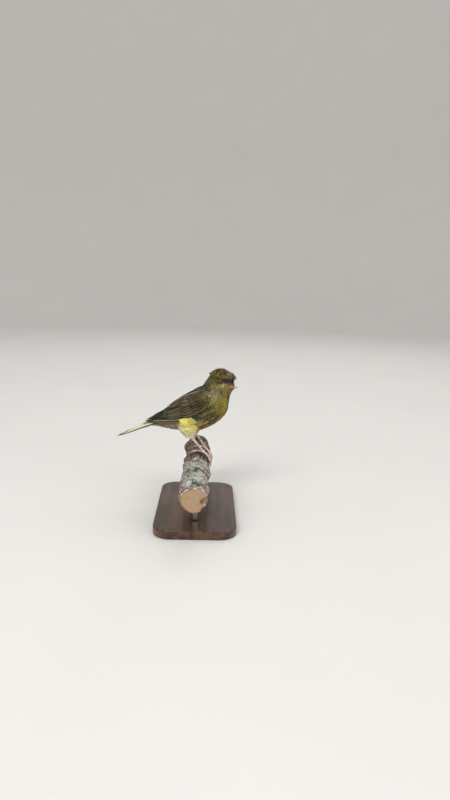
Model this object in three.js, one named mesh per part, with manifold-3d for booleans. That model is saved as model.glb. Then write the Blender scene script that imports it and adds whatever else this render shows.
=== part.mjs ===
// A crested canary, life size, gripping a short cut length of natural wood perch on a plain display stand.
// Millimetres, +Z up, +X the way the bird faces, +Y its left. The origin is the centre of the stand's
// underside. The bird's own sizes are measured from the top of the perch, in the bird's middle plane.
import * as THREE from "three";
import { mergeVertices } from "three/addons/utils/BufferGeometryUtils.js";
import Module from "manifold-3d";

const wasm = await Module();
wasm.setup();

// Driving dimensions
const GAP = 0.32; // between touching nodes
const BASE = { x: 74, y: 132, height: 8, corner: 16, bevel: 1 };
const ROD = { radius: 2.6, fromMiddle: 40, socket: 1.2, around: 20 }; // socket: its length inside the perch
const PERCH = { radius: 12.2, near: -113, far: 58, bow: -1.6, around: 26, step: 6.3 };
const PERCH_TOP = BASE.height + 22 + 2 * PERCH.radius;
const BIRD_Y = 30; // the bird's middle plane, measured along the base

const EYE = { x: 25.6, y: 7.15, z: 70.8, radius: 3.0, lidPlane: 2.04, lidRing: 2.85, lidThick: 0.5 };
const BILL = {
  length: 4.7,
  drop: 1.9,
  below: 1.6, // how far its base lies below the middle of the face
  halfWidth: 3.3,
  upper: 3.2,
  lower: 2.6,
  mouth: 0.1,
  bend: 0.7,
  overhang: 0.8,
  nostril: 0.5,
};
const CREST = {
  x: 20.5,
  z: 81.1,
  front: 16.2,
  back: 11,
  side: 13.2,
  fallFront: 0.026,
  fallBack: 0.045,
  fallSide: 0.043,
  dip: 8.9, // how far ahead of its middle a shallow dip crosses it
  dipDepth: 1.1,
  dipWidth: 1.7,
  root: 2.2,
};
const TAIL = {
  rootX: -37.5,
  rootZ: 30.7,
  length: 44,
  slope: 21,
  count: 12,
  rootPitch: 0.6,
  tipPitch: 1.05,
  sag: 0.9,
};
const LEG = { ankleRadius: 1.45, shankRadius: 0.98, hub: 1.6 };
const THIGH = {
  long: 10.4,
  wide: 6.2,
  endLong: 4.2,
  endWide: 2.6,
  tapersFrom: 0.42,
  pastAnkle: [-1.6, 0, 0.9],
};
const TOE = { radius: 0.9, tip: 0.62 };
const VANE_THICK = 0.55;

// The body's side outline, tail to face: the back line, the belly line, and half the width there.
const BODY = [
  { back: [-56, 25], belly: [-54.5, 21], half: 4 },
  { back: [-48, 28.4], belly: [-46, 24], half: 4.6 },
  { back: [-42, 31.8], belly: [-36, 22.8], half: 6.8 },
  { back: [-35, 36.2], belly: [-25, 20.6], half: 9.2 },
  { back: [-27, 42], belly: [-12, 18.8], half: 12 },
  { back: [-18, 48.8], belly: [3, 20.2], half: 14.4 },
  { back: [-9.5, 54.8], belly: [14, 25.2], half: 15.9 },
  { back: [-3, 59], belly: [23, 31.8], half: 16.2 },
  { back: [2.2, 63.6], belly: [28.4, 39.5], half: 15.2 },
  { back: [5.3, 67.4], belly: [29.8, 47.5], half: 13.2 },
  { back: [7.8, 71.6], belly: [30.2, 53.2], half: 11.4 },
  { back: [11.2, 75.4], belly: [31.6, 57.8], half: 10.3 },
  { back: [17, 78.6], belly: [32.8, 59.7], half: 9.8 },
  { back: [24, 78.4], belly: [33.4, 60.5], half: 8.8 },
  { back: [30.6, 74.8], belly: [33.8, 61.1], half: 6.6 },
  { back: [33.4, 71], belly: [34, 61.7], half: 4.2 },
];
const CUTS = { tail: 2.75, neck: 8.4, head: 10.6, face: BODY.length - 1 };
const ROUND = 0.93; // under 1 squares the body's section a little

const { lerp, clamp, smoothstep, smootherstep, degToRad: radians } = THREE.MathUtils;
const vec = (x, y, z) => new THREE.Vector3(x, y, z);
const soften = (value) => Math.sign(value) * Math.abs(value) ** ROUND;

function seeded(seed) {
  let state = seed;
  return () => {
    state = (state * 1664525 + 1013904223) % 4294967296;
    return state / 4294967296;
  };
}

// Turns the faces of a closed geometry over if they look inwards.
function facingOut(geometry) {
  const place = geometry.getAttribute("position");
  const corner = (i) => new THREE.Vector3().fromBufferAttribute(place, i);
  const index = Array.from(geometry.index.array);
  let volume = 0;
  for (let i = 0; i < index.length; i += 3)
    volume += corner(index[i]).dot(corner(index[i + 1]).cross(corner(index[i + 2])));
  if (volume < 0) index.reverse();
  geometry.setIndex(index);
  return geometry;
}

// Solids: a closed geometry to a manifold and back
function toSolid(geometry) {
  const bare = new THREE.BufferGeometry();
  bare.setAttribute("position", geometry.getAttribute("position"));
  if (geometry.index) bare.setIndex(geometry.index);
  const merged = mergeVertices(bare, 1e-4);
  const solid = new wasm.Manifold(
    new wasm.Mesh({
      numProp: 3,
      vertProperties: new Float32Array(merged.attributes.position.array),
      triVerts: new Uint32Array(merged.index.array),
    }),
  );
  if (solid.volume() < 0) throw new Error("a piece is inside out");
  return solid;
}

function toGeometry(solid) {
  const mesh = solid.getMesh();
  const positions = new Float32Array(mesh.numVert * 3);
  for (let i = 0; i < mesh.numVert; i++)
    positions.set(mesh.vertProperties.subarray(i * mesh.numProp, i * mesh.numProp + 3), i * 3);
  return new THREE.BufferGeometry()
    .setAttribute("position", new THREE.BufferAttribute(positions, 3))
    .setIndex(new THREE.BufferAttribute(new Uint32Array(mesh.triVerts), 1));
}

// Whether any edge of the solid lies on another of its edges, with places rounded to a thousandth.
function pinched(solid) {
  const mesh = solid.getMesh();
  const place = (i) => [0, 1, 2].map((c) => mesh.vertProperties[i * mesh.numProp + c].toFixed(3)).join(" ");
  const uses = new Map();
  for (let i = 0; i < mesh.triVerts.length; i += 3) {
    const corners = [0, 1, 2].map((c) => place(mesh.triVerts[i + c]));
    if (new Set(corners).size < 3) continue;
    corners.forEach((corner, c) => {
      const edge = [corner, corners[(c + 1) % 3]].sort().join("|");
      uses.set(edge, (uses.get(edge) ?? 0) + 1);
    });
  }
  return [...uses.values()].some((count) => count !== 2);
}

// The largest body of a node once it is whole, without its thinnest slivers.
const CLEANINGS = [0.06, 0.07, 0.08, 0.05, 0.04, 0.03];
const bigger = (a, b) => (a.volume() >= b.volume() ? a : b);

function largest(solid) {
  const tries = CLEANINGS.map((finest) => solid.asOriginal().simplify(finest).decompose().reduce(bigger));
  const sound = tries.find((body) => !pinched(body));
  if (!sound) throw new Error("edges of this solid lie on one another");
  return sound;
}
const fuse = (geometries) => geometries.map(toSolid).reduce((a, b) => a.add(b));

// A closed tube-like solid: a cylinder whose rim at share t and angle (0 at the back, half a turn at the
// belly) goes to place(t, angle, rim), where rim is 0 at the middle of an end and 1 on the surface.
function loft(place, around, along) {
  const geometry = new THREE.CylinderGeometry(1, 1, 1, around, along);
  const positions = geometry.getAttribute("position");
  for (let i = 0; i < positions.count; i++) {
    const x = positions.getX(i);
    const z = positions.getZ(i);
    const rim = Math.min(1, Math.round(Math.hypot(x, z)));
    const p = place(positions.getY(i) + 0.5, Math.atan2(x, z), rim);
    positions.setXYZ(i, p.x, p.y, p.z);
  }
  return geometry;
}

// The body's surface
const curve = (points) => new THREE.CatmullRomCurve3(points, false, "catmullrom", 0.5);
const backLine = curve(BODY.map(({ back }) => vec(back[0], 0, back[1])));
const bellyLine = curve(BODY.map(({ belly }) => vec(belly[0], 0, belly[1])));
const halfLine = curve(BODY.map(({ half }, i) => vec(i, half, 0)));

// station counts along BODY; angle 0 is the back and 180 degrees the belly; offset stands off the surface.
function bodyPoint(station, angle, offset = 0, rim = 1) {
  const t = station / (BODY.length - 1);
  const back = backLine.getPoint(t);
  const belly = bellyLine.getPoint(t);
  const middle = back.clone().add(belly).multiplyScalar(0.5);
  const up = back.clone().sub(middle);
  const depth = up.length();
  up.normalize().multiplyScalar((depth + offset) * soften(Math.cos(angle)) * rim);
  const side = (halfLine.getPoint(t).y + offset) * soften(Math.sin(angle)) * rim;
  return middle.add(up).add(vec(0, side, 0));
}

function bodyLoft(from, to, around, along, offset = 0) {
  const place = (t, angle, rim) => bodyPoint(lerp(from, to, t), angle, offset, rim);
  return loft(place, around, along);
}

// A vane: a thin strap that follows path(t), lies against facing(t), and has alike faces over and under.
const LONG = { stations: [0, 0.35, 0.72, 0.92, 1], widths: [0.62, 0.98, 1, 0.66, 0.2] };
const SHORT = { stations: [0, 0.55, 0.88, 1], widths: [0.7, 1, 0.74, 0.24] };

function vane({ path, facing, halfWidth, thick = VANE_THICK, tilt = 0, outline = LONG }) {
  const { stations, widths } = outline;
  const rows = stations.length;
  const step = 0.02;
  const positions = [];
  for (const face of [0.5, -0.5])
    stations.forEach((t, i) => {
      const here = path(t);
      const along = path(Math.min(1, t + step)).sub(path(Math.max(0, t - step))).normalize();
      const out = facing(t).clone();
      out.addScaledVector(along, -out.dot(along)).normalize();
      out.applyAxisAngle(along, tilt);
      const beside = along.clone().cross(out);
      const tipThick = i === rows - 1 ? 0.7 : 1;
      for (const edge of [-1, 1]) {
        const p = here.clone().addScaledVector(beside, edge * halfWidth * widths[i]);
        p.addScaledVector(out, thick * face * tipThick);
        positions.push(p.x, p.y, p.z);
      }
    });
  const at = (layer, row, edge) => (layer * rows + row) * 2 + edge;
  const faces = [];
  const quad = (a, b, c, d) => faces.push(a, b, c, a, c, d);
  for (let i = 0; i + 1 < rows; i++) {
    quad(at(0, i, 0), at(0, i, 1), at(0, i + 1, 1), at(0, i + 1, 0));
    quad(at(1, i, 0), at(1, i + 1, 0), at(1, i + 1, 1), at(1, i, 1));
    quad(at(0, i + 1, 0), at(1, i + 1, 0), at(1, i, 0), at(0, i, 0));
    quad(at(0, i, 1), at(1, i, 1), at(1, i + 1, 1), at(0, i + 1, 1));
  }
  const last = rows - 1;
  quad(at(0, 0, 0), at(1, 0, 0), at(1, 0, 1), at(0, 0, 1));
  quad(at(0, last, 1), at(1, last, 1), at(1, last, 0), at(0, last, 0));
  const geometry = new THREE.BufferGeometry();
  geometry.setAttribute("position", new THREE.BufferAttribute(new Float32Array(positions), 3));
  geometry.setIndex(faces);
  return facingOut(geometry);
}

// Wing: feathers laid by station along the body and by angle down its side, each row over the next.
// root and tip are [station, angle in degrees], and lift is how far each of them stands off the body.
// A bow over 1 keeps the feather low until near its tip.
const outward = (station, angle) => bodyPoint(station, angle, 1).sub(bodyPoint(station, angle)).normalize();

function wingVane({ root, tip, lift, halfWidth, tilt = 0, bow = 1, outline = LONG }) {
  const stationAt = (t) => lerp(root[0], tip[0], t);
  const angleAt = (t) => radians(lerp(root[1], tip[1], t ** bow));
  return vane({
    path: (t) => bodyPoint(stationAt(t), angleAt(t), lerp(lift[0], lift[1], t)),
    facing: (t) => outward(stationAt(t), angleAt(t)),
    halfWidth,
    tilt: radians(tilt),
    outline,
  });
}

// The angles of the folded wing's upper and lower edge at a station.
const wingTop = (station) => lerp(7, 34, smoothstep(station, 4, 8));
const wingFoot = (station) => 89 - 9 * smoothstep(-station, -5, -4) - 16 * smoothstep(station, 6.3, 7.8);

function wingCore() {
  const front = 7.55;
  const rear = 4.2;
  const geometry = new THREE.BoxGeometry(1, 1, 1, 5, 1, 8);
  const positions = geometry.getAttribute("position");
  for (let i = 0; i < positions.count; i++) {
    const along = clamp(positions.getZ(i) + 0.5, 0, 1);
    const down = clamp(positions.getX(i) + 0.5, 0, 1);
    const station = lerp(rear, front, along);
    const angle = radians(lerp(wingTop(station) + 4, wingFoot(station) - 3, down));
    const crown = Math.sin(Math.PI * along) ** 0.6 * Math.sin(Math.PI * down) ** 0.5;
    const upper = positions.getY(i) > 0;
    const p = bodyPoint(station, angle, upper ? GAP + 0.75 + 1.35 * crown : GAP + 0.1);
    positions.setXYZ(i, p.x, p.y, p.z);
  }
  return geometry;
}

// s is a feather's share of the way up its row.
function wing() {
  const pieces = [facingOut(wingCore())];
  const row = (count, make) => {
    for (let i = 0; i < count; i++) pieces.push(wingVane(make(i / (count - 1))));
  };
  // primaries, the outermost lowest on the flank
  row(6, (s) => ({
    root: [5.9, 88 - 14 * s],
    tip: [0.62 + 2.1 * Math.max(0, s - 0.3) ** 1.1, 36 - 20 * s],
    lift: [1.15 + 0.8 * s, 2.3 + 0.8 * s],
    halfWidth: 2.4 + 0.5 * s,
    tilt: -7,
    bow: 2.6 - 1.2 * s,
  }));
  // secondaries and tertials
  row(4, (s) => ({
    root: [5.5, 72 - 26 * s],
    tip: [3.05 + 0.18 * s, 57 - 31 * s],
    lift: [1.5, 2.7 + 0.5 * s],
    halfWidth: 3.5,
    tilt: -10,
  }));
  row(3, (s) => ({
    root: [5.9, 42 - 16 * s],
    tip: [3.2 + 1.0 * s, 25 - 13 * s],
    lift: [1.7, 3.4 + 0.2 * s],
    halfWidth: 3.7,
    tilt: -9,
  }));
  // primary coverts, with the small feathers of the thumb before them
  row(3, (s) => ({
    root: [6.5, 91 - 7 * s],
    tip: [4.7 + 0.4 * s, 88 - 9 * s],
    lift: [1.2, 2.2 + 0.4 * s],
    halfWidth: 2.1,
    tilt: -8,
    outline: SHORT,
  }));
  row(2, (s) => ({
    root: [6.9, 86 - 3 * s],
    tip: [5.75 + 0.3 * s, 90 - 7 * s],
    lift: [1.2, 2.8 + 0.3 * s],
    halfWidth: 1.9,
    tilt: -8,
    outline: SHORT,
  }));
  // greater, median and lesser coverts
  row(6, (s) => ({
    root: [6.5, 79 - 44 * s],
    tip: [4.75 + 0.45 * s, 73 - 47 * s],
    lift: [1.5, 3.3 + 0.3 * s],
    halfWidth: 3.1,
    tilt: -10,
    outline: SHORT,
  }));
  row(5, (s) => ({
    root: [7.0, 78 - 44 * s],
    tip: [5.85 + 0.25 * s, 77 - 47 * s],
    lift: [1.4, 3.8],
    halfWidth: 3.3,
    tilt: -9,
    outline: SHORT,
  }));
  row(4, (s) => ({
    root: [7.5, 74 - 37 * s],
    tip: [6.7 + 0.1 * s, 77 - 43 * s],
    lift: [0.9, 3.0],
    halfWidth: 3.9,
    tilt: -8,
    outline: SHORT,
  }));
  // shoulder feathers along the back
  row(4, (s) => ({
    root: [7.3 - 0.9 * s, 33 - 11 * s],
    tip: [6.0 - 1.4 * s, 22 - 9 * s],
    lift: [1.0, 3.1 + 0.3 * s],
    halfWidth: 3.2,
    tilt: 4,
    outline: SHORT,
  }));
  return toGeometry(largest(fuse(pieces)));
}

// Tail: twelve feathers, the middle pair uppermost, with coverts over and under their roots.
const slope = radians(TAIL.slope);

function tailVane({ root, tip, halfWidth, roll, outline = LONG }) {
  const path = (t) => root.clone().lerp(tip, t).add(vec(0, 0, TAIL.sag * Math.sin(Math.PI * t)));
  const out = vec(-Math.sin(slope), Math.sin(roll), Math.cos(slope)).normalize();
  return vane({ path, facing: () => out, halfWidth, thick: 0.6, outline });
}

function tailFeather(pair, side) {
  const out = side * (pair + 0.5);
  const reach = TAIL.length - 3.4 + 0.9 * Math.min(pair, 4);
  const root = vec(TAIL.rootX, out * TAIL.rootPitch, TAIL.rootZ - 0.36 * pair - (side > 0 ? 0.12 : 0));
  const tip = root.clone().add(vec(-reach * Math.cos(slope), 0, -reach * Math.sin(slope)));
  tip.y = out * TAIL.tipPitch;
  return tailVane({ root, tip, halfWidth: 3.3, roll: radians(4.5 * out) });
}

// Coverts, over the tail if height is positive, and else under it.
const TAIL_COVERTS = [
  { height: 1.0, drop: 0.08, reach: 13 },
  { height: -3.6, drop: -0.64, reach: 14 },
];

function tailCovert({ height, drop, reach }, out) {
  const x = TAIL.rootX - 2;
  const z = TAIL.rootZ + height;
  return tailVane({
    root: vec(x, out * 1.9, z - 0.25 * Math.abs(out)),
    tip: vec(x - reach + Math.abs(out), out * 1.7, z - 0.4 * reach + drop),
    halfWidth: 2.4,
    roll: radians(9 * out * Math.sign(height)),
    outline: SHORT,
  });
}

function tail() {
  const pieces = [facingOut(bodyLoft(0.9, CUTS.tail - 0.02, 20, 4))];
  for (let pair = 0; pair < TAIL.count / 2; pair++) pieces.push(tailFeather(pair, -1), tailFeather(pair, 1));
  for (const row of TAIL_COVERTS) for (const out of [-2, -1, 0, 1, 2]) pieces.push(tailCovert(row, out));
  return toGeometry(largest(fuse(pieces)));
}

// Head: skull, lids and the crest, whose feathers ray out from one point of the crown.
function crestHeight(x, y) {
  const dx = x - CREST.x;
  const fall = dx > 0 ? CREST.fallFront : CREST.fallBack;
  const dip = CREST.dipDepth * Math.exp(-(((dx - CREST.dip) / CREST.dipWidth) ** 2));
  return CREST.z - fall * dx * dx - dip - CREST.fallSide * y * y;
}

function crestVane(angle, reach, start, lift, halfWidth) {
  const path = (t) => {
    const r = lerp(start, reach, t);
    const x = CREST.x + r * Math.cos(angle);
    const y = r * Math.sin(angle);
    const sunk = -CREST.root * Math.max(0, 1 - 3.2 * t);
    return vec(x, y, crestHeight(x, y) + lift + sunk);
  };
  return vane({
    path,
    facing: (t) => {
      const p = path(t);
      return vec((p.x - CREST.x) * 0.06, p.y * 0.1, 1).normalize();
    },
    halfWidth,
    outline: { stations: [0, 0.5, 0.86, 1], widths: [0.3, 0.78, 1, 0.35] },
  });
}

function crest() {
  const random = seeded(11);
  const rings = [
    { count: 17, share: 1.0, start: 5.5, lift: -0.8, droop: 0.6 },
    { count: 13, share: 0.8, start: 3.6, lift: -0.4, droop: 0.2 },
    { count: 9, share: 0.55, start: 1.8, lift: 0.1, droop: 0 },
  ];
  return rings.flatMap(({ count, share, start, lift, droop }) =>
    Array.from({ length: count }, (unused, i) => {
      const angle = (2 * Math.PI * (i + 0.5 * (count % 2))) / count;
      const ahead = Math.cos(angle);
      const end = ahead > 0 ? CREST.front : CREST.back;
      const reach = lerp(CREST.side, end, ahead ** 2) * share * (0.96 + 0.08 * random());
      const half = (0.92 * Math.PI * reach) / count;
      return crestVane(angle, reach, start, lift - droop * ahead * Math.abs(ahead) + 0.25 * random(), half);
    }),
  );
}

const eyeOut = (side) => vec(0.24, side * 0.96, 0.06).normalize();

function lid(side) {
  const out = eyeOut(side);
  const ring = new THREE.TorusGeometry(EYE.lidRing, EYE.lidThick, 6, 16);
  const turn = new THREE.Quaternion().setFromUnitVectors(vec(0, 0, 1), out);
  ring.applyQuaternion(turn);
  const centre = vec(EYE.x, side * EYE.y, EYE.z).addScaledVector(out, EYE.lidPlane);
  return ring.translate(centre.x, centre.y, centre.z);
}

function ball(radius, centre, around = 14, along = 10) {
  return new THREE.SphereGeometry(radius, around, along).translate(centre.x, centre.y, centre.z);
}

function head() {
  const skull = bodyLoft(CUTS.head + 0.04, CUTS.face, 26, 9);
  let solid = fuse([facingOut(skull), lid(1), lid(-1), ...crest()]);
  for (const side of [-1, 1])
    solid = solid.subtract(toSolid(ball(EYE.radius + GAP, vec(EYE.x, side * EYE.y, EYE.z))));
  return toGeometry(largest(solid));
}

// Bill: two half cones, with the line of the mouth between them and a nostril each side of the upper one.
const face = bodyPoint(CUTS.face, 0).add(bodyPoint(CUTS.face, Math.PI)).multiplyScalar(0.5);
const faceUp = bodyPoint(CUTS.face, 0).sub(face).normalize();
const billBase = face.clone().addScaledVector(faceUp, -BILL.below);

function billHalf(upper) {
  const whole = Math.hypot(BILL.length, BILL.drop);
  const axis = vec(BILL.length, 0, -BILL.drop).normalize();
  const up = faceUp.clone().lerp(vec(-axis.z, 0, axis.x), 0.35).normalize();
  const sign = upper ? 1 : -1;
  const deep = upper ? BILL.upper : BILL.lower;
  const reach = whole - (upper ? 0 : BILL.overhang);
  const start = billBase.clone().add(vec(GAP + 0.1, 0, 0));
  const place = (t, angle, rim) => {
    const d = (reach * t) / whole;
    const taper = lerp(0.06, 1, (1 - t) ** (upper ? 0.7 : 0.8));
    const wide = BILL.halfWidth * lerp(0.05, 1, (1 - t) ** 0.85) * (upper ? 1 : 0.92);
    const rise = deep * taper * Math.max(0, sign * Math.cos(angle)) * rim;
    const line = BILL.mouth * (1 - d) - BILL.bend * d * d;
    const p = start.clone().addScaledVector(axis, reach * t);
    p.addScaledVector(faceUp.clone().lerp(up, Math.min(1, 3 * t)), line + sign * (GAP / 2 + rise));
    p.y = wide * Math.sin(angle) * rim;
    return p;
  };
  return facingOut(loft(place, 16, 6));
}

function bill(upper) {
  let solid = toSolid(billHalf(upper));
  if (upper)
    for (const side of [-1, 1]) {
      const hole = ball(BILL.nostril, billBase.clone().add(vec(1.4, side * 2.6, 1.6)), 8, 6);
      solid = solid.subtract(toSolid(hole));
    }
  return toGeometry(largest(solid));
}

// Perch: a knotty length of branch along Y. Height is measured from its own middle line.
const KNOTS = [
  { y: 46, angle: -1.45, height: 3.4, spread: 7 },
  { y: 14, angle: 1.7, height: 1.6, spread: 6 },
  { y: 2, angle: -1.65, height: 2.0, spread: 6 },
  { y: -27, angle: -1.5, height: 2.6, spread: 7 },
  { y: -44, angle: 1.3, height: 1.8, spread: 7 },
  { y: -62, angle: -0.7, height: 1.5, spread: 8 },
  { y: -74, angle: -1.8, height: 2.4, spread: 8 },
  { y: -88, angle: 0.9, height: 1.7, spread: 8 },
  { y: -103, angle: 1.7, height: 1.8, spread: 6 },
];

// angle 0 is the top of the perch, and it grows towards +X.
function perchRadius(y, angle) {
  const calm = smoothstep(Math.abs(y), 8, 30);
  const wave = 0.42 * Math.sin(y / 6.1 + 2 * Math.sin(angle)) + 0.36 * Math.sin(3 * angle - y / 9.7);
  const knots = KNOTS.reduce((sum, k) => {
    const round = Math.atan2(Math.sin(angle - k.angle), Math.cos(angle - k.angle)) * PERCH.radius;
    return sum + k.height * Math.exp(-((y - k.y) ** 2 + round ** 2) / k.spread ** 2);
  }, 0);
  return PERCH.radius + wave * lerp(0.2, 1, calm) + knots;
}

function perchPoint(y, angle, offset = 0, rim = 1) {
  const r = (perchRadius(y, angle) + offset) * rim;
  const bow = PERCH.bow * (y / PERCH.near) ** 2;
  return vec(r * Math.sin(angle) + bow, y, r * Math.cos(angle) - PERCH.radius);
}

function perchLoft(offset = 0) {
  const along = Math.round((PERCH.far - PERCH.near) / PERCH.step);
  const place = (t, angle, rim) => perchPoint(lerp(PERCH.near, PERCH.far, t), angle, offset, rim);
  return facingOut(loft(place, PERCH.around, along));
}

// Legs and feet. A toe is a path over the perch: heading is its turn from straight ahead.
const FEET = [
  { name: "right", y: -9, start: 24, ankle: vec(-5.6, -8.6, 13.4), hip: vec(-10.6, -7.6, 34) },
  { name: "left", y: 9, start: 31, ankle: vec(-2.8, 8.6, 14.2), hip: vec(-9.1, 7.6, 34) },
];
const TOES = [
  { name: "inner", heading: 24, length: 10.5, claw: 4.6 },
  { name: "middle", heading: 2, length: 14.0, claw: 5.4 },
  { name: "outer", heading: -22, length: 11.2, claw: 4.8 },
  { name: "hind", heading: 180, length: 10.4, claw: 7.0 },
];

function toePoint(foot, toe, s, offset) {
  const inward = foot.y > 0 ? -1 : 1;
  const heading = radians(toe.heading);
  const ahead = s * Math.cos(heading);
  const y = foot.y + inward * s * Math.sin(heading);
  const angle = radians(foot.start) + ahead / PERCH.radius;
  const near = [-1.2, 0, 1.2].flatMap((dy) => [-0.09, 0, 0.09].map((da) => perchRadius(y + dy, angle + da)));
  return perchPoint(y, angle, Math.max(...near) - perchRadius(y, angle) + GAP + offset);
}

// A tube of round section along path(t), radius(t).
function tube(path, radius, around, along) {
  const step = 0.03;
  const place = (t, angle, rim) => {
    const here = path(t);
    const ahead = path(Math.min(1, t + step)).sub(path(Math.max(0, t - step))).normalize();
    const beside = ahead.clone().cross(vec(0.02, 1, 0.05)).normalize();
    const up = beside.clone().cross(ahead);
    const r = radius(t) * rim;
    return here.addScaledVector(beside, r * Math.cos(angle)).addScaledVector(up, r * Math.sin(angle));
  };
  return facingOut(loft(place, around, along));
}

function toe(foot, spec) {
  const from = spec.name === "hind" ? 0 : 0.2;
  const path = (t) => toePoint(foot, spec, lerp(from, spec.length, t), TOE.radius);
  const pads = (t) => 1 + 0.14 * Math.cos(2 * Math.PI * t * (spec.length / 3.6));
  return tube(path, (t) => lerp(TOE.radius, TOE.tip, t) * pads(t), 8, Math.round(spec.length / 1.9));
}

function claw(foot, spec) {
  const from = spec.length + GAP + 0.08;
  const path = (t) => {
    const arch = 0.62 + 0.55 * Math.sin(Math.PI * Math.min(1, 0.15 + 0.8 * t));
    return toePoint(foot, spec, from + spec.claw * t, arch);
  };
  return tube(path, (t) => lerp(0.56, 0.16, t ** 0.9), 6, 4);
}

function hubCentre(foot) {
  return perchPoint(foot.y, radians(foot.start), GAP + LEG.hub * 0.95);
}

function footSolid(foot) {
  const hub = ball(LEG.hub, hubCentre(foot), 12, 8);
  return toGeometry(largest(fuse([hub, ...TOES.map((spec) => toe(foot, spec))])));
}

function shank(foot) {
  const end = hubCentre(foot);
  const start = foot.ankle.clone().lerp(end, -0.25);
  const path = (t) => start.clone().lerp(end, t).add(vec(0.35 * Math.sin(Math.PI * t), 0, 0));
  const radius = (t) => lerp(LEG.ankleRadius, LEG.shankRadius, smoothstep(t, 0.1, 0.36));
  const whole = toSolid(tube(path, radius, 10, 8));
  const clear = [ball(LEG.hub + 1.2 * GAP, end, 14, 10), thighLoft(foot, GAP)].map(toSolid);
  return toGeometry(largest(clear.reduce((rest, solid) => rest.subtract(solid), whole)));
}

// Thigh: the feathered part of the leg. Its top lies inside the flank and its end is just over the ankle.
function thighLoft(foot, offset = 0) {
  const side = Math.sign(foot.y);
  const end = foot.ankle.clone().add(vec(...THIGH.pastAnkle));
  const along = end.clone().sub(foot.hip).normalize();
  const place = (t, angle, rim) => {
    const full = Math.sqrt(1 - smootherstep(t, THIGH.tapersFrom, 1));
    const long = lerp(THIGH.endLong, THIGH.long, full) + offset;
    const wide = lerp(THIGH.endWide, THIGH.wide, full) + offset;
    const centre = foot.hip.clone().lerp(end, t).addScaledVector(along, offset * (2 * t - 1));
    return centre.add(vec(long * Math.cos(angle) * rim, side * wide * Math.sin(angle) * rim, 0));
  };
  return facingOut(loft(place, 18, 8));
}

function thigh(foot) {
  const torsoGrown = toSolid(facingOut(bodyLoft(CUTS.tail, CUTS.neck, 30, 16, GAP + 0.05)));
  return toGeometry(largest(toSolid(thighLoft(foot)).subtract(torsoGrown)));
}

// Stand
function baseSolid() {
  const { x, y, height, corner, bevel } = BASE;
  const w = x / 2 - bevel;
  const d = y / 2 - bevel;
  const r = corner - bevel;
  const outline = new THREE.Shape()
    .moveTo(-w + r, -d)
    .lineTo(w - r, -d)
    .absarc(w - r, -d + r, r, -Math.PI / 2, 0)
    .lineTo(w, d - r)
    .absarc(w - r, d - r, r, 0, Math.PI / 2)
    .lineTo(-w + r, d)
    .absarc(-w + r, d - r, r, Math.PI / 2, Math.PI)
    .lineTo(-w, -d + r)
    .absarc(-w + r, -d + r, r, Math.PI, 1.5 * Math.PI);
  const plate = new THREE.ExtrudeGeometry(outline, {
    depth: height - 2 * bevel,
    bevelThickness: bevel,
    bevelSize: bevel,
    bevelSegments: 1,
    curveSegments: 6,
  });
  return plate.translate(0, 0, bevel);
}

function rodSolid(y) {
  const top = PERCH_TOP - PERCH.radius - perchRadius(y - BIRD_Y, Math.PI) + ROD.socket;
  const low = BASE.height + GAP;
  const rod = new THREE.CylinderGeometry(ROD.radius, ROD.radius, top - low, ROD.around);
  rod.rotateX(Math.PI / 2).translate(0, y, (top + low) / 2);
  const grown = toSolid(perchLoft(GAP).translate(0, BIRD_Y, PERCH_TOP));
  return toGeometry(largest(toSolid(rod).subtract(grown)));
}

// Materials
const finish = (colour, roughness, metalness = 0) =>
  new THREE.MeshStandardMaterial({ color: colour, roughness, metalness });
const FINISHES = {
  olive: finish("#80773f", 0.85),
  crest: finish("#564b34", 0.85),
  brown: finish("#4a4238", 0.8),
  cream: finish("#d9d3a0", 0.8),
  yellow: finish("#dccd6c", 0.85),
  horn: finish("#d8b7a2", 0.45),
  skin: finish("#c99a8c", 0.5),
  claw: finish("#8d6f63", 0.4),
  eye: finish("#0d0906", 0.08),
  bark: finish("#86817a", 0.9),
  walnut: finish("#3b2a20", 0.4),
  steel: finish("#b9b9b6", 0.3, 1),
};

// Assembly
const bird = new THREE.Group();
bird.position.set(0, BIRD_Y, PERCH_TOP);
const stand = new THREE.Group();

function put(group, name, geometry, material) {
  geometry.computeVertexNormals();
  const mesh = new THREE.Mesh(geometry, material);
  mesh.name = name;
  group.add(mesh);
  return mesh;
}

put(bird, "head", head(), FINISHES.crest);
put(bird, "neck", facingOut(bodyLoft(CUTS.neck + 0.03, CUTS.head - 0.03, 26, 4)), FINISHES.olive);
put(bird, "torso", facingOut(bodyLoft(CUTS.tail + 0.02, CUTS.neck - 0.03, 30, 13)), FINISHES.olive);
put(bird, "tail", tail(), FINISHES.cream);
put(bird, "bill_upper", bill(true), FINISHES.horn);
put(bird, "bill_lower", bill(false), FINISHES.horn);

const wingGeometry = wing();
for (const [side, name] of [
  [-1, "wing_right"],
  [1, "wing_left"],
]) {
  put(bird, name, wingGeometry.clone(), FINISHES.brown).scale.y = side;
}

for (const foot of FEET) {
  const side = Math.sign(foot.y);
  put(bird, `eye_${foot.name}`, ball(EYE.radius, vec(EYE.x, side * EYE.y, EYE.z)), FINISHES.eye);
  put(bird, `thigh_${foot.name}`, thigh(foot), FINISHES.yellow);
  put(bird, `leg_${foot.name}`, shank(foot), FINISHES.skin);
  put(bird, `foot_${foot.name}`, footSolid(foot), FINISHES.skin);
  for (const spec of TOES) put(bird, `claw_${foot.name}_${spec.name}`, claw(foot, spec), FINISHES.claw);
}

put(bird, "perch", perchLoft(), FINISHES.bark);
put(stand, "stand_base", baseSolid(), FINISHES.walnut);
put(stand, "stand_rod_near", rodSolid(-ROD.fromMiddle), FINISHES.steel);
put(stand, "stand_rod_far", rodSolid(ROD.fromMiddle), FINISHES.steel);

const part = new THREE.Group();
part.add(bird, stand);

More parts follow.
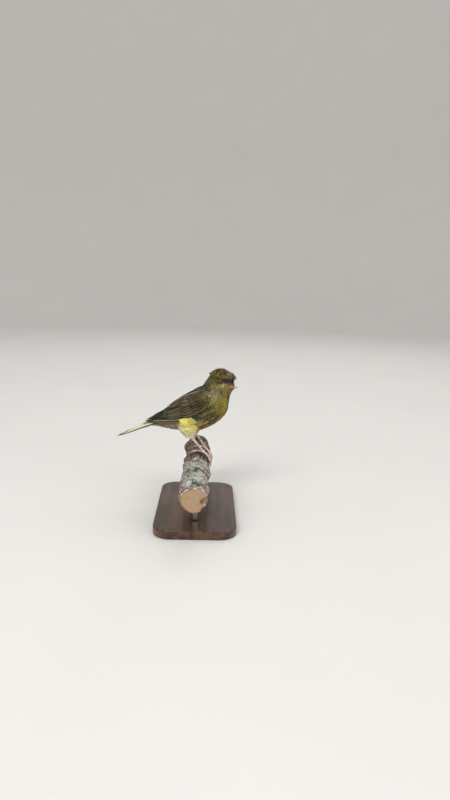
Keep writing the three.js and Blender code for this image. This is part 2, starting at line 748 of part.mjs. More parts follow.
export default part;
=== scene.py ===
"""A crested canary that grips a cut length of its perch, on a plain display stand.

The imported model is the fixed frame. The bird is drawn in millimetres from its own origin, the top of the
perch under its feet in its middle plane, with +X the way it faces, +Y its left and +Z up.
"""

import math
from types import SimpleNamespace

import bmesh
import bpy
import numpy as np
from mathutils import Matrix, Vector


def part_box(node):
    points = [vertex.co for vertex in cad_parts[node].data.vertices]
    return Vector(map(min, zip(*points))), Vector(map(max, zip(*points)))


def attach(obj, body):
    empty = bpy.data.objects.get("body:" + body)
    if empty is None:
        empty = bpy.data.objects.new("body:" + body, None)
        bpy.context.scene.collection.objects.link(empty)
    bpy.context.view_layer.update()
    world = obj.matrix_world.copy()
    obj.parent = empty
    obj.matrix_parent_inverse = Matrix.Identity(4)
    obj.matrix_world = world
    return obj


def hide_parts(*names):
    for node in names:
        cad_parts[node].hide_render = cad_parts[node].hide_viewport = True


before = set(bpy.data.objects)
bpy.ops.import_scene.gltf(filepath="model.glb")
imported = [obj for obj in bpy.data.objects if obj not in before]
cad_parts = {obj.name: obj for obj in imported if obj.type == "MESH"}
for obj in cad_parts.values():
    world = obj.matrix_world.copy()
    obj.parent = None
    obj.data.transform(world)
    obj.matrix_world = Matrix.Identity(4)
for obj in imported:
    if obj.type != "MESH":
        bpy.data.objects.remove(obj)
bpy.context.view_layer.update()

MM = 0.001
TAU = 2 * math.pi
BIRD_AT = np.array([0.0, 30.0, 54.4])
BODY = "root"
SIDES = (("right", -1), ("left", 1))

# The body's side outline, tail to face: the back line, the belly line, and half the width there
BACK = [
    (-56, 25), (-48, 28.4), (-42, 31.8), (-35, 36.2), (-27, 42), (-18, 48.8), (-9.5, 54.8), (-3, 59),
    (2.2, 63.6), (5.3, 67.4), (7.8, 71.6), (11.2, 75.4), (17, 78.6), (24, 78.4), (30.6, 74.8), (33.4, 71.0),
]
BELLY = [
    (-54.5, 21), (-46, 24), (-36, 22.8), (-25, 20.6), (-12, 18.8), (3, 20.2), (14, 25.2), (23, 31.8),
    (28.4, 39.5), (29.8, 47.5), (30.2, 53.2), (31.6, 57.8), (32.8, 59.7), (33.4, 60.5), (33.8, 61.1),
    (34.0, 61.7),
]
HALF = [4, 4.6, 6.8, 9.2, 12, 14.4, 15.9, 16.2, 15.2, 13.2, 11.4, 10.3, 9.8, 8.8, 6.6, 4.2]
FACE = len(BACK) - 1
ROUND = 0.93
COAT_DEPTH = 1.3
HEAD_DEPTH = 0.75

EYE = {"centre": np.array([25.6, 7.15, 70.8]), "radius": 3.0, "lid_plane": 2.04, "lid_ring": 2.6}
BILL = {
    "length": 4.7, "drop": 1.9, "half_width": 3.3, "below": 1.6, "mouth": 0.1, "bend": 0.7,
    "gap": 0.08,
}
CREST = {"x": 20.5, "z": 81.1, "front": 16.2, "back": 11.0, "side": 13.2, "dip": 8.9}
TAIL = {"root_x": -37.5, "root_z": 30.7, "length": 44, "slope": 21, "root_pitch": 0.6, "tip_pitch": 1.05}
THIGH = {"long": 10.4, "wide": 6.2, "end_long": 4.2, "end_wide": 2.6, "tapers_from": 0.42}
FEET = {
    "right": {"y": -9, "start": 24, "ankle": (-5.6, -8.6, 13.4), "hip": (-10.6, -7.6, 34)},
    "left": {"y": 9, "start": 31, "ankle": (-2.8, 8.6, 14.2), "hip": (-9.1, 7.6, 34)},
}
TOES = {
    "inner": {"heading": 24, "length": 10.5, "claw": 4.6},
    "middle": {"heading": 2, "length": 14.0, "claw": 5.4},
    "outer": {"heading": -22, "length": 11.2, "claw": 4.8},
    "hind": {"heading": 180, "length": 10.4, "claw": 7.0},
}
TOE_RADIUS = (0.9, 0.62)
HUB = 1.6
SHANK_RADIUS = (1.45, 0.98)
PERCH = {"radius": 12.2, "near": -113, "far": 58, "bow": -1.6}
# Knots of the perch: where along it, where round it, height and spread
KNOTS = [
    (2, -1.65, 2.0, 6), (14, 1.7, 1.6, 6), (46, -1.45, 3.4, 7), (-27, -1.5, 2.6, 7), (-44, 1.3, 1.8, 7),
    (-62, -0.7, 1.5, 8), (-74, -1.8, 2.4, 8), (-88, 0.9, 1.7, 8), (-103, 1.7, 1.8, 6),
]
# Dark knots in the near sawn end: across, up and radius
END_KNOTS = [(6.0, -0.6, 2.0), (7.6, 1.6, 1.1), (9.6, 2.6, 1.0), (10.2, -1.6, 1.2)]
STAND = {"x": 74, "y": 132, "height": 8, "corner": 16, "bevel": 1, "rod": 2.6, "rod_y": 40}

# Colours, as a screen shows them
COLOURS = {
    "olive": "#7b7040", "breast": "#998b3c", "belly": "#8a6a38", "vent": "#a3945a", "throat": "#86702a",
    "cheek": "#857a42", "chin": "#a89050", "nape": "#665c36", "mantle": "#75655a", "rump": "#7b7040",
    # lores and lores_low are painted shade under the crest's front, over the lores and the bill's base
    "lores": "#45302a", "lores_low": "#7b5b49", "yellow": "#fdf47a", "soft_yellow": "#fbf3aa",
    "pale_yellow": "#fdf8d0", "cream": "#fffbe8", "mauve": "#9d8b85", "bright": "#c8b452",
    "crest": "#8d7a37", "crest_front": "#978b7a", "crest_tip": "#19130b", "crest_edge": "#b5a560",
    "dark": "#1f1b18", "primary": "#26221f", "covert": "#372f25", "fringe": "#efe2a2",
    "covert_edge": "#80733f", "soft_edge": "#b3a394", "dusky": "#6d6250", "rust": "#7d5a30",
    "streak": "#2b2a1c", "grey_green": "#989470",
    "blue_green": "#454e3e", "neck_pale": "#bab27c", "eye_line": "#241f10", "eyelid": "#b5aa8c",
    "gape": "#a87a50",
}


def linear(hexed):
    """A screen colour as the three linear numbers that shaders use."""
    parts = np.array([int(hexed[i : i + 2], 16) / 255 for i in (1, 3, 5)])
    return np.where(parts <= 0.04045, parts / 12.92, ((parts + 0.055) / 1.055) ** 2.4)


COL = SimpleNamespace(**{name: linear(value) for name, value in COLOURS.items()})


# Small numeric helpers
def smooth(value, low, high):
    """0 below low, 1 above high, and an S curve between; low may be above high."""
    x = np.clip((np.asarray(value, float) - low) / (high - low), 0, 1)
    return x * x * (3 - 2 * x)


def between(value, low, full, fades, gone):
    """Rises from 0 to 1 between low and full, and falls back between fades and gone."""
    return smooth(value, low, full) * smooth(value, gone, fades)


def bell(x):
    return np.exp(-(x**2))


def hump(t):
    """0 at either end of 0 to 1, and 1 in the middle."""
    return np.sin(math.pi * np.clip(t, 0, 1))


def lerp(a, b, t):
    return a + (b - a) * t


def soften(value):
    return np.sign(value) * np.abs(value) ** ROUND


def stack(*parts):
    """Numbers or arrays side by side as the last axis."""
    return np.stack(np.broadcast_arrays(*parts), axis=-1)


def length_of(v):
    return np.linalg.norm(v, axis=-1)


def unit(v):
    return v / length_of(v)[..., None]


def catmull(points, at):
    """A smooth curve through the points at fractional place `at`, straight beyond either end."""
    points = np.asarray(points, float).reshape(len(points), -1)
    last = len(points) - 1
    padded = np.vstack([2 * points[0] - points[1], points, 2 * points[-1] - points[-2]])
    inside = np.clip(at, 0, last)
    i = np.minimum(inside.astype(int), last - 1)
    w = (inside - i)[..., None]
    p0, p1, p2, p3 = (padded[i + k] for k in range(4))
    a, b = (p2 - p0) / 2, (p3 - p1) / 2
    curve = p1 + a * w + (3 * (p2 - p1) - 2 * a - b) * w**2 + (2 * (p1 - p2) + a + b) * w**3
    beyond = (np.asarray(at) - inside)[..., None]
    slope = np.where(beyond < 0, points[1] - points[0], points[-1] - points[-2])
    return curve + beyond * slope


LATTICE = np.random.default_rng(5).random((32, 32, 32))


def noise(p):
    """Smooth noise from 0 to 1 at the points p, with features about 1 across."""
    cell = np.floor(p).astype(int)
    f = p - cell
    f = f * f * (3 - 2 * f)
    total = 0
    for corner in np.ndindex(2, 2, 2):
        weight = np.prod([f[..., k] if c else 1 - f[..., k] for k, c in enumerate(corner)], axis=0)
        i, j, k = (np.mod(cell[..., axis] + corner[axis], 32) for axis in range(3))
        total = total + weight * LATTICE[i, j, k]
    return total


def fractal(p, octaves=4):
    return sum(noise(p * 2**i + 7.3 * i) / 2**i for i in range(octaves)) / (2 - 2 ** (1 - octaves))


# The body's surface
def body(station, angle, lift=0.0):
    """A place at a station of the outline, an angle (0 is the back, pi the belly) and a lift."""
    station, angle, lift = np.broadcast_arrays(station, angle, lift)
    back, belly = catmull(BACK, station), catmull(BELLY, station)
    half = catmull(HALF, station)[..., 0]
    middle = (back + belly) / 2
    up = back - middle
    depth = length_of(up)
    up = up / depth[..., None] * ((depth + lift) * soften(np.cos(angle)))[..., None]
    side = (half + lift) * soften(np.sin(angle))
    return stack(middle[..., 0] + up[..., 0], side, middle[..., 1] + up[..., 1])


def body_scale(station, angle):
    """How many millimetres one station and one radian are at a place on the body."""
    step = 0.02
    along = length_of(body(station + step, angle) - body(station - step, angle)) / (2 * step)
    around = length_of(body(station, angle + step) - body(station, angle - step)) / (2 * step)
    return np.maximum(along, 1.2), np.maximum(around, 1.2)


def nearest_station(p):
    """The station and angle of points on or near the body."""
    samples = np.linspace(0, FACE, 301)
    back, belly = catmull(BACK, samples), catmull(BELLY, samples)
    middle, half_depth = (back + belly) / 2, length_of(back - belly) / 2
    along = unit(back - belly)
    normal = stack(along[:, 1], -along[:, 0])
    apart = p[:, None, [0, 2]] - middle
    away, reach = (np.abs(np.einsum("nsk,sk->ns", apart, axis)) for axis in (normal, along))
    best = np.argmin(away + 3 * np.maximum(0, reach - half_depth - 2), axis=1)
    up = np.einsum("nk,nk->n", p[:, [0, 2]] - middle[best], along[best]) / half_depth[best]
    side = p[:, 1] / catmull(HALF, samples[best])[:, 0]
    return samples[best], np.arctan2(side, up)


def bake_place(station, angle):
    """A place on the body as a place on the OFBake map."""
    return stack(station / (FACE + 1), np.mod(angle / TAU, 1))


def coat_depth(station):
    """How deep the skin lies under the coat's surface."""
    return lerp(COAT_DEPTH, HEAD_DEPTH, smooth(station, 9.5, 12))


def thigh_point(foot, t, angle, lift=0.0, rim=1.0):
    """A place on the thigh, t from its hip to just short of the ankle."""
    side = math.copysign(1, foot["y"])
    hip = np.array(foot["hip"])
    end = np.array(foot["ankle"]) + (-1.6, 0, 0.9)
    x = np.clip((t - THIGH["tapers_from"]) / (1 - THIGH["tapers_from"]), 0, 1)
    full = np.sqrt(1 - x**3 * (x * (6 * x - 15) + 10))
    long = lerp(THIGH["end_long"], THIGH["long"], full) + lift
    wide = lerp(THIGH["end_wide"], THIGH["wide"], full) + lift
    centre = hip + (end - hip) * np.asarray(t)[..., None]
    return centre + stack(long * np.cos(angle) * rim, side * wide * np.sin(angle) * rim, 0.0)


# Meshes
def closed(grid):
    """A grid of point numbers whose columns run full circle."""
    return np.hstack([grid, grid[:, :1]])


def quads_of(grid, flip=False):
    faces = stack(grid[:-1, :-1], grid[:-1, 1:], grid[1:, 1:], grid[1:, :-1]).reshape(-1, 4)
    return faces[:, ::-1] if flip else faces


def signed_volume(points, quads):
    a, b, c, d = (points[quads[:, k]] for k in range(4))
    return np.einsum("ij,ij->", a, np.cross(b, c)) + np.einsum("ij,ij->", a, np.cross(c, d))


def facing_out(points, faces):
    """The faces turned over if the first set of them, the quads, looks inwards."""
    return [f[:, ::-1] for f in faces] if signed_volume(points, faces[0]) < 0 else faces


def add_object(name, data):
    made = bpy.data.objects.new(name, data)
    bpy.context.scene.collection.objects.link(made)
    return made


def set_attribute(mesh, key, values):
    values = np.asarray(values, np.float32)
    kind, field = ("FLOAT", "value") if values.ndim == 1 else ("FLOAT_VECTOR", "vector")
    mesh.attributes.new(key, kind, "POINT").data.foreach_set(field, values.ravel())


def set_bake(mesh, places, corners):
    mesh.uv_layers.new(name="OFBake").uv.foreach_set("vector", places[corners].astype(np.float32).ravel())


def make_mesh(name, points, faces, material, attributes=None, bake=None, smooth_shaded=True):
    """points are in the bird's millimetres; faces is a list of arrays of quads or triangles."""
    mesh = bpy.data.meshes.new(name)
    mesh.vertices.add(len(points))
    mesh.vertices.foreach_set("co", ((points + BIRD_AT) * MM).astype(np.float32).ravel())
    corners = np.concatenate([f.ravel() for f in faces]).astype(np.int32)
    sizes = np.concatenate([np.full(len(f), f.shape[1]) for f in faces])
    mesh.loops.add(len(corners))
    mesh.loops.foreach_set("vertex_index", corners)
    mesh.polygons.add(len(sizes))
    mesh.polygons.foreach_set("loop_start", np.concatenate([[0], np.cumsum(sizes)[:-1]]).astype(np.int32))
    mesh.polygons.foreach_set("use_smooth", np.full(len(sizes), smooth_shaded))
    mesh.update(calc_edges=True)
    for key, values in (attributes or {}).items():
        set_attribute(mesh, key, values)
    if bake is not None:
        set_bake(mesh, bake, corners)
    mesh.materials.append(material)
    return add_object(name, mesh)


def dress(piece, slot, *nodes):
    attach(piece, BODY)
    if nodes:
        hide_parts(*nodes)
    return piece


def tube_mesh(place, around, along):
    """A closed tube: place(t, angle, rim) on a grid, with each end closed by a fan to its middle."""
    t = np.linspace(0, 1, along + 1)
    angle = np.arange(around) * TAU / around
    tt, aa = np.meshgrid(t, angle, indexing="ij")
    points = place(tt, aa, np.ones_like(tt)).reshape(-1, 3)
    grid = closed(np.arange(len(points)).reshape(along + 1, around))
    faces = [quads_of(grid)]
    for end, row in ((0.0, grid[0]), (1.0, grid[-1])):
        centre = place(np.array([end]), np.array([0.0]), np.array([0.0])).reshape(1, 3)
        fan = stack(row[:-1], row[1:], len(points))
        points = np.vstack([points, centre])
        faces.append(fan[:, ::-1] if end == 0.0 else fan)
    return points, facing_out(points, faces)


def shares_along(around, along):
    """How far along its tube each point of tube_mesh lies."""
    return np.concatenate([np.repeat(np.linspace(0, 1, along + 1), around), [0, 1]])


def joined(parts):
    """Several (points, faces) sets as one."""
    points, faces, count = [], [], 0
    for p, fs in parts:
        points.append(p)
        faces.extend(f + count for f in fs)
        count += len(p)
    return np.vstack(points), faces


def weld(piece):
    """Joins points that lie in one place, and turns the faces outwards."""
    bm = bmesh.new()
    bm.from_mesh(piece.data)
    bmesh.ops.remove_doubles(bm, verts=bm.verts, dist=0.00001)
    bmesh.ops.recalc_face_normals(bm, faces=bm.faces)
    bm.to_mesh(piece.data)
    bm.free()


# Vanes: thin closed feathers, built many at a time
PATCH = 0.003
BARB_PITCH = 0.42
CONTOUR = [0.35, 0.75, 0.95, 1.0, 0.9, 0.5]
DOWNY = [0.4, 0.8, 1.0, 0.95, 0.8, 0.45]
FLIGHT = [0.35, 0.8, 0.95, 1.0, 1.0, 1.0, 0.98, 0.93, 0.8, 0.42]
COVERT = [0.5, 0.85, 1.0, 1.0, 0.93, 0.6]
CRESTED = [0.3, 0.55, 0.8, 0.98, 1.0, 0.95, 0.6]
SOFT_COMB = {"profile": DOWNY, "ragged": 0.1, "tip_round": 0.4, "comb": 0.1}


def vane_grid(rows, cols):
    """Places t along and s across a vane: an upper face, and an under face that shares its rim."""
    t, s = np.meshgrid(np.linspace(0, 1, rows + 1), np.linspace(-1, 1, cols + 1), indexing="ij")
    top = np.arange(t.size).reshape(t.shape)
    inner = top[1:-1, 1:-1]
    bottom = top.copy()
    bottom[1:-1, 1:-1] = t.size + np.arange(inner.size).reshape(inner.shape)
    under = np.concatenate([np.zeros(t.size), np.ones(inner.size)])
    t, s = (np.concatenate([v.ravel(), v.ravel()[inner.ravel()]]) for v in (t, s))
    return t, s, under, np.vstack([quads_of(top), quads_of(bottom, flip=True)])


class Vanes:
    """Collects the feathers of one coat piece."""

    def __init__(self):
        self.points, self.faces, self.attributes, self.bake, self.count = [], [], {}, [], 0

    def add(self, place, grid, roots, size, look, rng, profile, ragged=0.08, tip_round=0.2, comb=0.0):
        """Adds N feathers: place(t, s, under) gives their points, and roots their places on the map.

        size is their length and half width, and look their tone, edge colour and pattern.
        """
        rows, cols = grid
        t, s, under, quads = vane_grid(rows, cols)
        n = len(roots)
        near_tip = smooth(t, 0.45, 1)
        jitter = rng.normal(0, ragged, (n, cols + 1))
        column = np.rint((s + 1) / 2 * cols).astype(int)
        cut = tip_round * s**2 + comb * (column % 2)
        t_cut = t * (1 - cut * near_tip) + jitter[:, column] * near_tip * t
        width = np.interp(t, np.linspace(0, 1, len(profile)), profile)
        edge_jitter = 1 + rng.normal(0, ragged * 0.6, (n, len(t))) * (np.abs(s) > 0.99)
        points = place(t_cut, s * width * edge_jitter, np.broadcast_to(under, t_cut.shape))
        quads = quads if signed_volume(points[0], quads) > 0 else quads[:, ::-1]
        self.points.append(points.reshape(-1, 3))
        self.faces.append((self.count + np.arange(n)[:, None, None] * len(t) + quads).reshape(-1, 4))
        self.count += n * len(t)
        luck = rng.random((n, 1))
        length, half = (v[:, None] for v in size)
        tall = np.ones((n, len(t)))
        values = {"vane": stack(s * tall, t * tall, luck * tall)}
        for key, value in zip(("tone", "edge", "pattern"), look):
            values[key] = value[:, None, :] * tall[..., None]
        values["barb"] = (t * length - np.abs(s) * width * half * 1.1) / BARB_PITCH
        for key, value in values.items():
            self.attributes.setdefault(key, []).append(value.reshape(-1, *value.shape[2:]))
        patch = stack(t * tall - 0.5, s * tall / 2) * PATCH
        self.bake.append((roots[:, None, :] + patch).reshape(-1, 2))

    def piece(self, name, material):
        attributes = {key: np.concatenate(value) for key, value in self.attributes.items()}
        points, bake = np.vstack(self.points), np.vstack(self.bake)
        return make_mesh(name, points, [np.vstack(self.faces)], material, attributes, bake)


def add_body_vanes(coat, rng, station, angle, length, half, turn, lifts, look, grid, **options):
    """Feathers that lie along the body from the roots given, towards the tail, turned by `turn`."""
    along, around = body_scale(station, angle)
    low, high, arch, cup, thick = lifts

    def place(t, s, under):
        forward = t * length[:, None]
        beside = s * half[:, None]
        c, d = np.cos(turn)[:, None], np.sin(turn)[:, None]
        st = station[:, None] - (forward * c - beside * d) / along[:, None]
        an = angle[:, None] + (forward * d + beside * c) / around[:, None]
        rise = lerp(low[:, None], high[:, None], t) + arch * hump(t)
        return body(st, an, rise - cup * s**2 - thick * under)

    coat.add(place, grid, bake_place(station, angle), (length, half), look, rng, **options)


def add_straight_vanes(coat, rng, start, rays, rise, grid, roots, size, look):
    """Small feathers that leave `start` along a ray; rise(t, under) stands them off outwards."""
    ray, across, out = (np.atleast_2d(v)[:, None] for v in rays)
    length, half = size

    def place(t, s, under):
        here = start[:, None] + ray * (t * length[:, None])[..., None]
        here = here + across * (s * half[:, None])[..., None]
        return here + out * rise(t, under)[..., None]

    coat.add(place, grid, roots, size, look, rng, CONTOUR)


# Markings
def painted(base, *layers):
    """The base colour with (mask, colour) layers over it."""
    for mask, over in layers:
        base = lerp(base, over, np.asarray(mask)[..., None])
    return base


def plumage(station, angle):
    """Tone, edge colour and pattern (edge width, shaft streak, one-sidedness) of the coat at a place."""
    down = np.degrees(np.abs(np.mod(angle + math.pi, TAU) - math.pi))
    p = body(station, angle)
    head = smooth(station, 9.8, 11.5)
    trunk = 1 - head
    front = smooth(station, 6.0, 8.0)
    rear = smooth(station, 4.8, 3.4)
    under = smooth(down, 95, 140)
    midline = smooth(down, 140, 168)
    back = smooth(down, 72, 38) * between(station, 3.4, 5.0, 9.0, 10.4)
    flank = between(station, 4.9, 5.3, 6.4, 7.3) * between(down, 84, 96, 128, 150)
    flush = between(station, 4.1, 4.5, 5.1, 5.5) * between(down, 80, 92, 140, 165)
    neck = between(station, 7.6, 8.4, 10.2, 11) * between(down, 42, 60, 96, 112)
    # noise that runs with the feathers, coarse and fine
    strands = noise(stack(station * 0.9, angle * 9.0, 9.0))
    fine = noise(stack(station * 2.6, angle * 16.0, 2.0))
    streaks = smooth(strands, 0.46, 0.64) * (1 - 0.8 * smooth(station, 7.4, 8.6)) * smooth(down, 40, 60)
    streaks = streaks * (1 - midline) * trunk * smooth(station, 4.5, 6)
    belly = smooth(strands, 0.5, 0.3) * smooth(down, 118, 135) * smooth(station, 4.9, 5.6) * (1 - front)
    # the face, by how far ahead of the eye and above it
    x, z = p[:, 0] - EYE["centre"][0], p[:, 2] - EYE["centre"][2]
    sides = smooth(np.abs(p[:, 1]), 2.5, 5)
    eye_line = bell((z + 1.1 + 0.2 * x) / 0.9) * between(x, -9, -6.5, 0, 2)
    crescent = bell((z + 3.2) / 0.8) * between(x, -6.5, -4.5, 1, 3)
    lores = smooth(x, 1.5, 3.5) * smooth(z, -5.5, -3.5)
    malar = bell((x + 3) / 1.9) * bell((z + 8.2) / 2.4)
    gape = bell((z + 0.2 * x + 4.52) / 0.6) * smooth(x, 0.5, 2)
    tone = painted(
        COL.olive,
        (smooth(down, 70, 105) * front * trunk, COL.breast),
        (between(down, 50, 70, 80, 110) * smooth(station, 8.3, 9.2) * trunk, COL.grey_green),
        (under * (1 - front), COL.belly),
        (0.6 * midline * front * trunk, COL.rust),
        (smooth(down, 60, 100) * rear, COL.vent),
        (0.9 * smooth(down, 100, 114) * rear, COL.mauve),
        (0.8 * smooth(down, 84, 94) * between(station, 3.0, 3.5, 4.1, 4.5), COL.mauve * 1.25),
        (smooth(down, 80, 50) * rear, COL.rump),
        (back, COL.mantle),
        # a dark line along the top of the back: partly painted shade along the outline, partly the mantle's
        # own dark edge
        (0.7 * back * smooth(down, 18, 5), COL.streak),
        (head, COL.cheek),
        (smooth(down, 80, 45) * smooth(station, 8.6, 10.0), COL.nape),
        (smooth(down, 112, 150) * smooth(station, 9.6, 11.4), COL.throat),
        (0.7 * midline * between(station, 9.0, 10.4, 11.8, 13), COL.rust),
        (0.8 * smooth(down, 100, 130) * smooth(station, 13.4, 14.6), COL.chin),
        (0.75 * streaks, COL.streak),
        (0.9 * flank * smooth(strands, 0.45, 0.53), COL.blue_green),
        (0.5 * flank * smooth(strands, 0.42, 0.34), COL.bright),
        (0.24 * belly, COL.bright),
        (0.3 * neck * smooth(fine, 0.5, 0.68), COL.neck_pale),
        (0.6 * crescent * sides, COL.eyelid),
        (0.95 * eye_line * sides, COL.eye_line),
        (0.8 * malar * sides, COL.streak),
        # painted shade under the crest's front over the lores, darkest just under the crest
        (0.95 * lores * head, painted(COL.lores_low, (smooth(z, -4.5, -1), COL.lores))),
        (0.45 * gape * head, COL.gape),
        (0.9 * flush, COL.yellow),
    )
    calm = lerp(1, 0.55, head)
    blotches = 1 + 0.56 * calm * (noise(p / 1.7 + 40) - 0.5)
    tone = tone * (blotches * (1 + 0.44 * calm * (fine - 0.5)))[:, None]
    edge = painted(tone * 1.35, (head, tone * 1.2), (0.75 * neck, COL.neck_pale))
    streak = 0.45 * (1 - under) * trunk + 0.55 * back + 0.25 * head * smooth(down, 90, 60)
    return tone, edge, stack(0.3 + 0.1 * back, np.clip(streak * (1 - 0.8 * flush), 0, 1), 0.0)


# Materials
class Term:
    """What one output of a shader node gives. Sums and products of terms make math nodes."""

    def __init__(self, shader, socket):
        self.shader, self.socket = shader, socket

    def __add__(self, other):
        return self.shader.math("ADD", self, other)

    def __mul__(self, other):
        return self.shader.math("MULTIPLY", self, other)

    def __sub__(self, other):
        return self.shader.math("SUBTRACT", self, other)

    def __rsub__(self, other):
        return self.shader.math("SUBTRACT", other, self)

    __radd__, __rmul__ = __add__, __mul__


class Shader:
    """A principled material with a few short calls for its nodes."""

    def __init__(self, name, roughness, **inputs):
        self.material = bpy.data.materials.new(name)
        self.material.use_nodes = True
        self.tree = self.material.node_tree
        self.main = self.tree.nodes["Principled BSDF"]
        for key, value in {"Roughness": roughness, **inputs}.items():
            self.main.inputs[key.replace("_", " ")].default_value = value

    def plug(self, source, target):
        if isinstance(source, Term):
            self.tree.links.new(source.socket, target)
        elif isinstance(source, (int, float)):
            target.default_value = source
        else:
            target.default_value = (*source[:3], 1.0) if target.type == "RGBA" else tuple(source)

    def node(self, kind, given, **settings):
        """A new node with its settings, and its inputs by name or number. Gives its outputs."""
        made = self.tree.nodes.new("ShaderNode" + kind)
        for key, value in settings.items():
            setattr(made, key, value)
        for key, value in given.items():
            self.plug(value, made.inputs[key])
        return [Term(self, socket) for socket in made.outputs]

    def math(self, operation, a, b=0.0):
        return self.node("Math", {0: a, 1: b}, operation=operation)[0]

    def step(self, value, low, high):
        given = dict(enumerate((value, low, high, 0.0, 1.0)))
        return self.node("MapRange", given, interpolation_type="SMOOTHSTEP")[0]

    def mix(self, factor, a, b, blend="MIX"):
        return self.node("Mix", {0: factor, 6: a, 7: b}, data_type="RGBA", blend_type=blend)[2]

    def shaded(self, colour, by):
        return self.mix(1.0, colour, by, "MULTIPLY")

    def vector(self, name):
        return self.node("Attribute", {}, attribute_name=name)[1]

    def number(self, name):
        return self.node("Attribute", {}, attribute_name=name)[2]

    def split(self, name):
        return self.node("SeparateXYZ", {0: self.vector(name)})

    def noise(self, scale, detail=3.0, roughness=0.55, stretch=None):
        place = self.node("TexCoord", {})[3]
        if stretch:
            place = self.node("Mapping", {"Vector": place, "Scale": stretch})[0]
        given = {"Vector": place, "Scale": scale, "Detail": detail, "Roughness": roughness}
        return self.node("TexNoise", given)[0]

    def finish(self, colour, height=None, strength=0.4, distance=0.1):
        """Sets the colour and the bumps, whose distance is in millimetres."""
        self.plug(colour, self.main.inputs["Base Color"])
        if height is not None:
            given = {"Strength": strength, "Distance": distance * MM, "Height": height}
            self.plug(self.node("Bump", given)[0], self.main.inputs["Normal"])
        return self.material


def feather_material(name, roughness, barbs, sheen, uneven=0.24):
    """Vane colour from each feather's own tone and edge, with a dark shaft streak and fine barbs."""
    sh = Shader(name, roughness, Specular_IOR_Level=0.15, Sheen_Weight=sheen, Sheen_Roughness=0.5)
    s, t, luck = sh.split("vane")
    width, streak, side = sh.split("pattern")
    tone, edge = sh.vector("tone"), sh.vector("edge")
    away = sh.math("ABSOLUTE", s)
    shown = away * (1.0 - side) + s * side
    inner = 1.0 - width
    rim = sh.step(shown, inner - 0.12, inner + 0.12)
    tip = sh.step(t, inner, 1.0 - width * 0.2)
    kept = 1.0 - sh.math("MAXIMUM", side * 0.85, streak * 0.7)
    colour = sh.mix(sh.math("MAXIMUM", rim, tip * kept), tone, edge)
    centre = (1.0 - sh.step(away, 0.15, 0.6)) * (1.0 - sh.step(t, 0.93, 1.0))
    colour = sh.mix(centre * streak, colour, sh.shaded(tone, (0.2, 0.17, 0.14)))
    wave = sh.math("SINE", sh.number("barb") * TAU)
    shaft = 1.0 - sh.step(away, 0.03, 0.07)
    grain = (sh.noise(900.0, 2.0) - 0.5) * 0.25
    shade = (0.96 - uneven / 2) + luck * uneven + wave * 0.07 + grain - shaft * 0.16
    tinted = sh.node("VectorMath", {0: colour, "Scale": shade}, operation="SCALE")[0]
    return sh.finish(tinted, wave * 0.5 + shaft * 2.0, barbs, 0.05)


def skin_material():
    sh = Shader("skin", 0.75, Specular_IOR_Level=0.2, Sheen_Weight=0.2)
    tone, grain = sh.vector("tone"), sh.noise(1400.0, 4.0)
    colour = sh.mix(sh.step(grain, 0.35, 0.7), sh.shaded(tone, (0.6, 0.56, 0.52)), tone)
    return sh.finish(colour, grain, 0.6, 0.15)


def horn_material(name, pale, dark, roughness=0.38):
    """Horn that darkens with the piece's own `tip` value."""
    sh = Shader(name, roughness, Specular_IOR_Level=0.5, Coat_Weight=0.15, Subsurface_Weight=0.15,
                Subsurface_Radius=(0.002, 0.001, 0.0006), Subsurface_Scale=0.4)
    pale, dark = linear(pale), linear(dark)
    fibre = sh.noise(700.0, 4.0)
    colour = sh.mix(sh.step(fibre, 0.3, 0.75), sh.shaded(pale, (0.86, 0.8, 0.76)), pale)
    return sh.finish(sh.mix(sh.number("tip"), colour, dark), fibre, 0.25, 0.06)


def leg_material():
    sh = Shader("leg_skin", 0.42, Specular_IOR_Level=0.45, Subsurface_Weight=0.2,
                Subsurface_Radius=(0.0025, 0.001, 0.0006), Subsurface_Scale=0.4)
    mottle = sh.noise(420.0)
    colour = sh.mix(sh.step(mottle, 0.35, 0.7), linear("#c0a298"), linear("#f0e0d8"))
    return sh.finish(sh.mix(sh.number("crease"), colour, linear("#7d544b")), mottle, 0.3, 0.08)


def eye_material():
    sh = Shader("eye_ball", 0.07, Specular_IOR_Level=0.45)
    iris = sh.number("iris")
    ring = sh.mix(sh.step(iris, 0.5, 0.56), linear("#040404"), linear("#120d0a"))
    streaked = sh.mix(sh.noise(1800.0, 2.0) * 0.4, ring, linear("#1d140d"))
    return sh.finish(sh.mix(sh.step(iris, 0.8, 0.95), streaked, linear("#0b0908")))


def lid_material(name):
    sh = Shader(name, 0.6, Specular_IOR_Level=0.35)
    grain = sh.noise(1500.0)
    base = sh.mix(sh.number("low"), linear("#241d16"), linear("#665b48"))
    return sh.finish(sh.mix(grain * 0.5, base, linear("#6a5848")), grain, 0.4, 0.08)


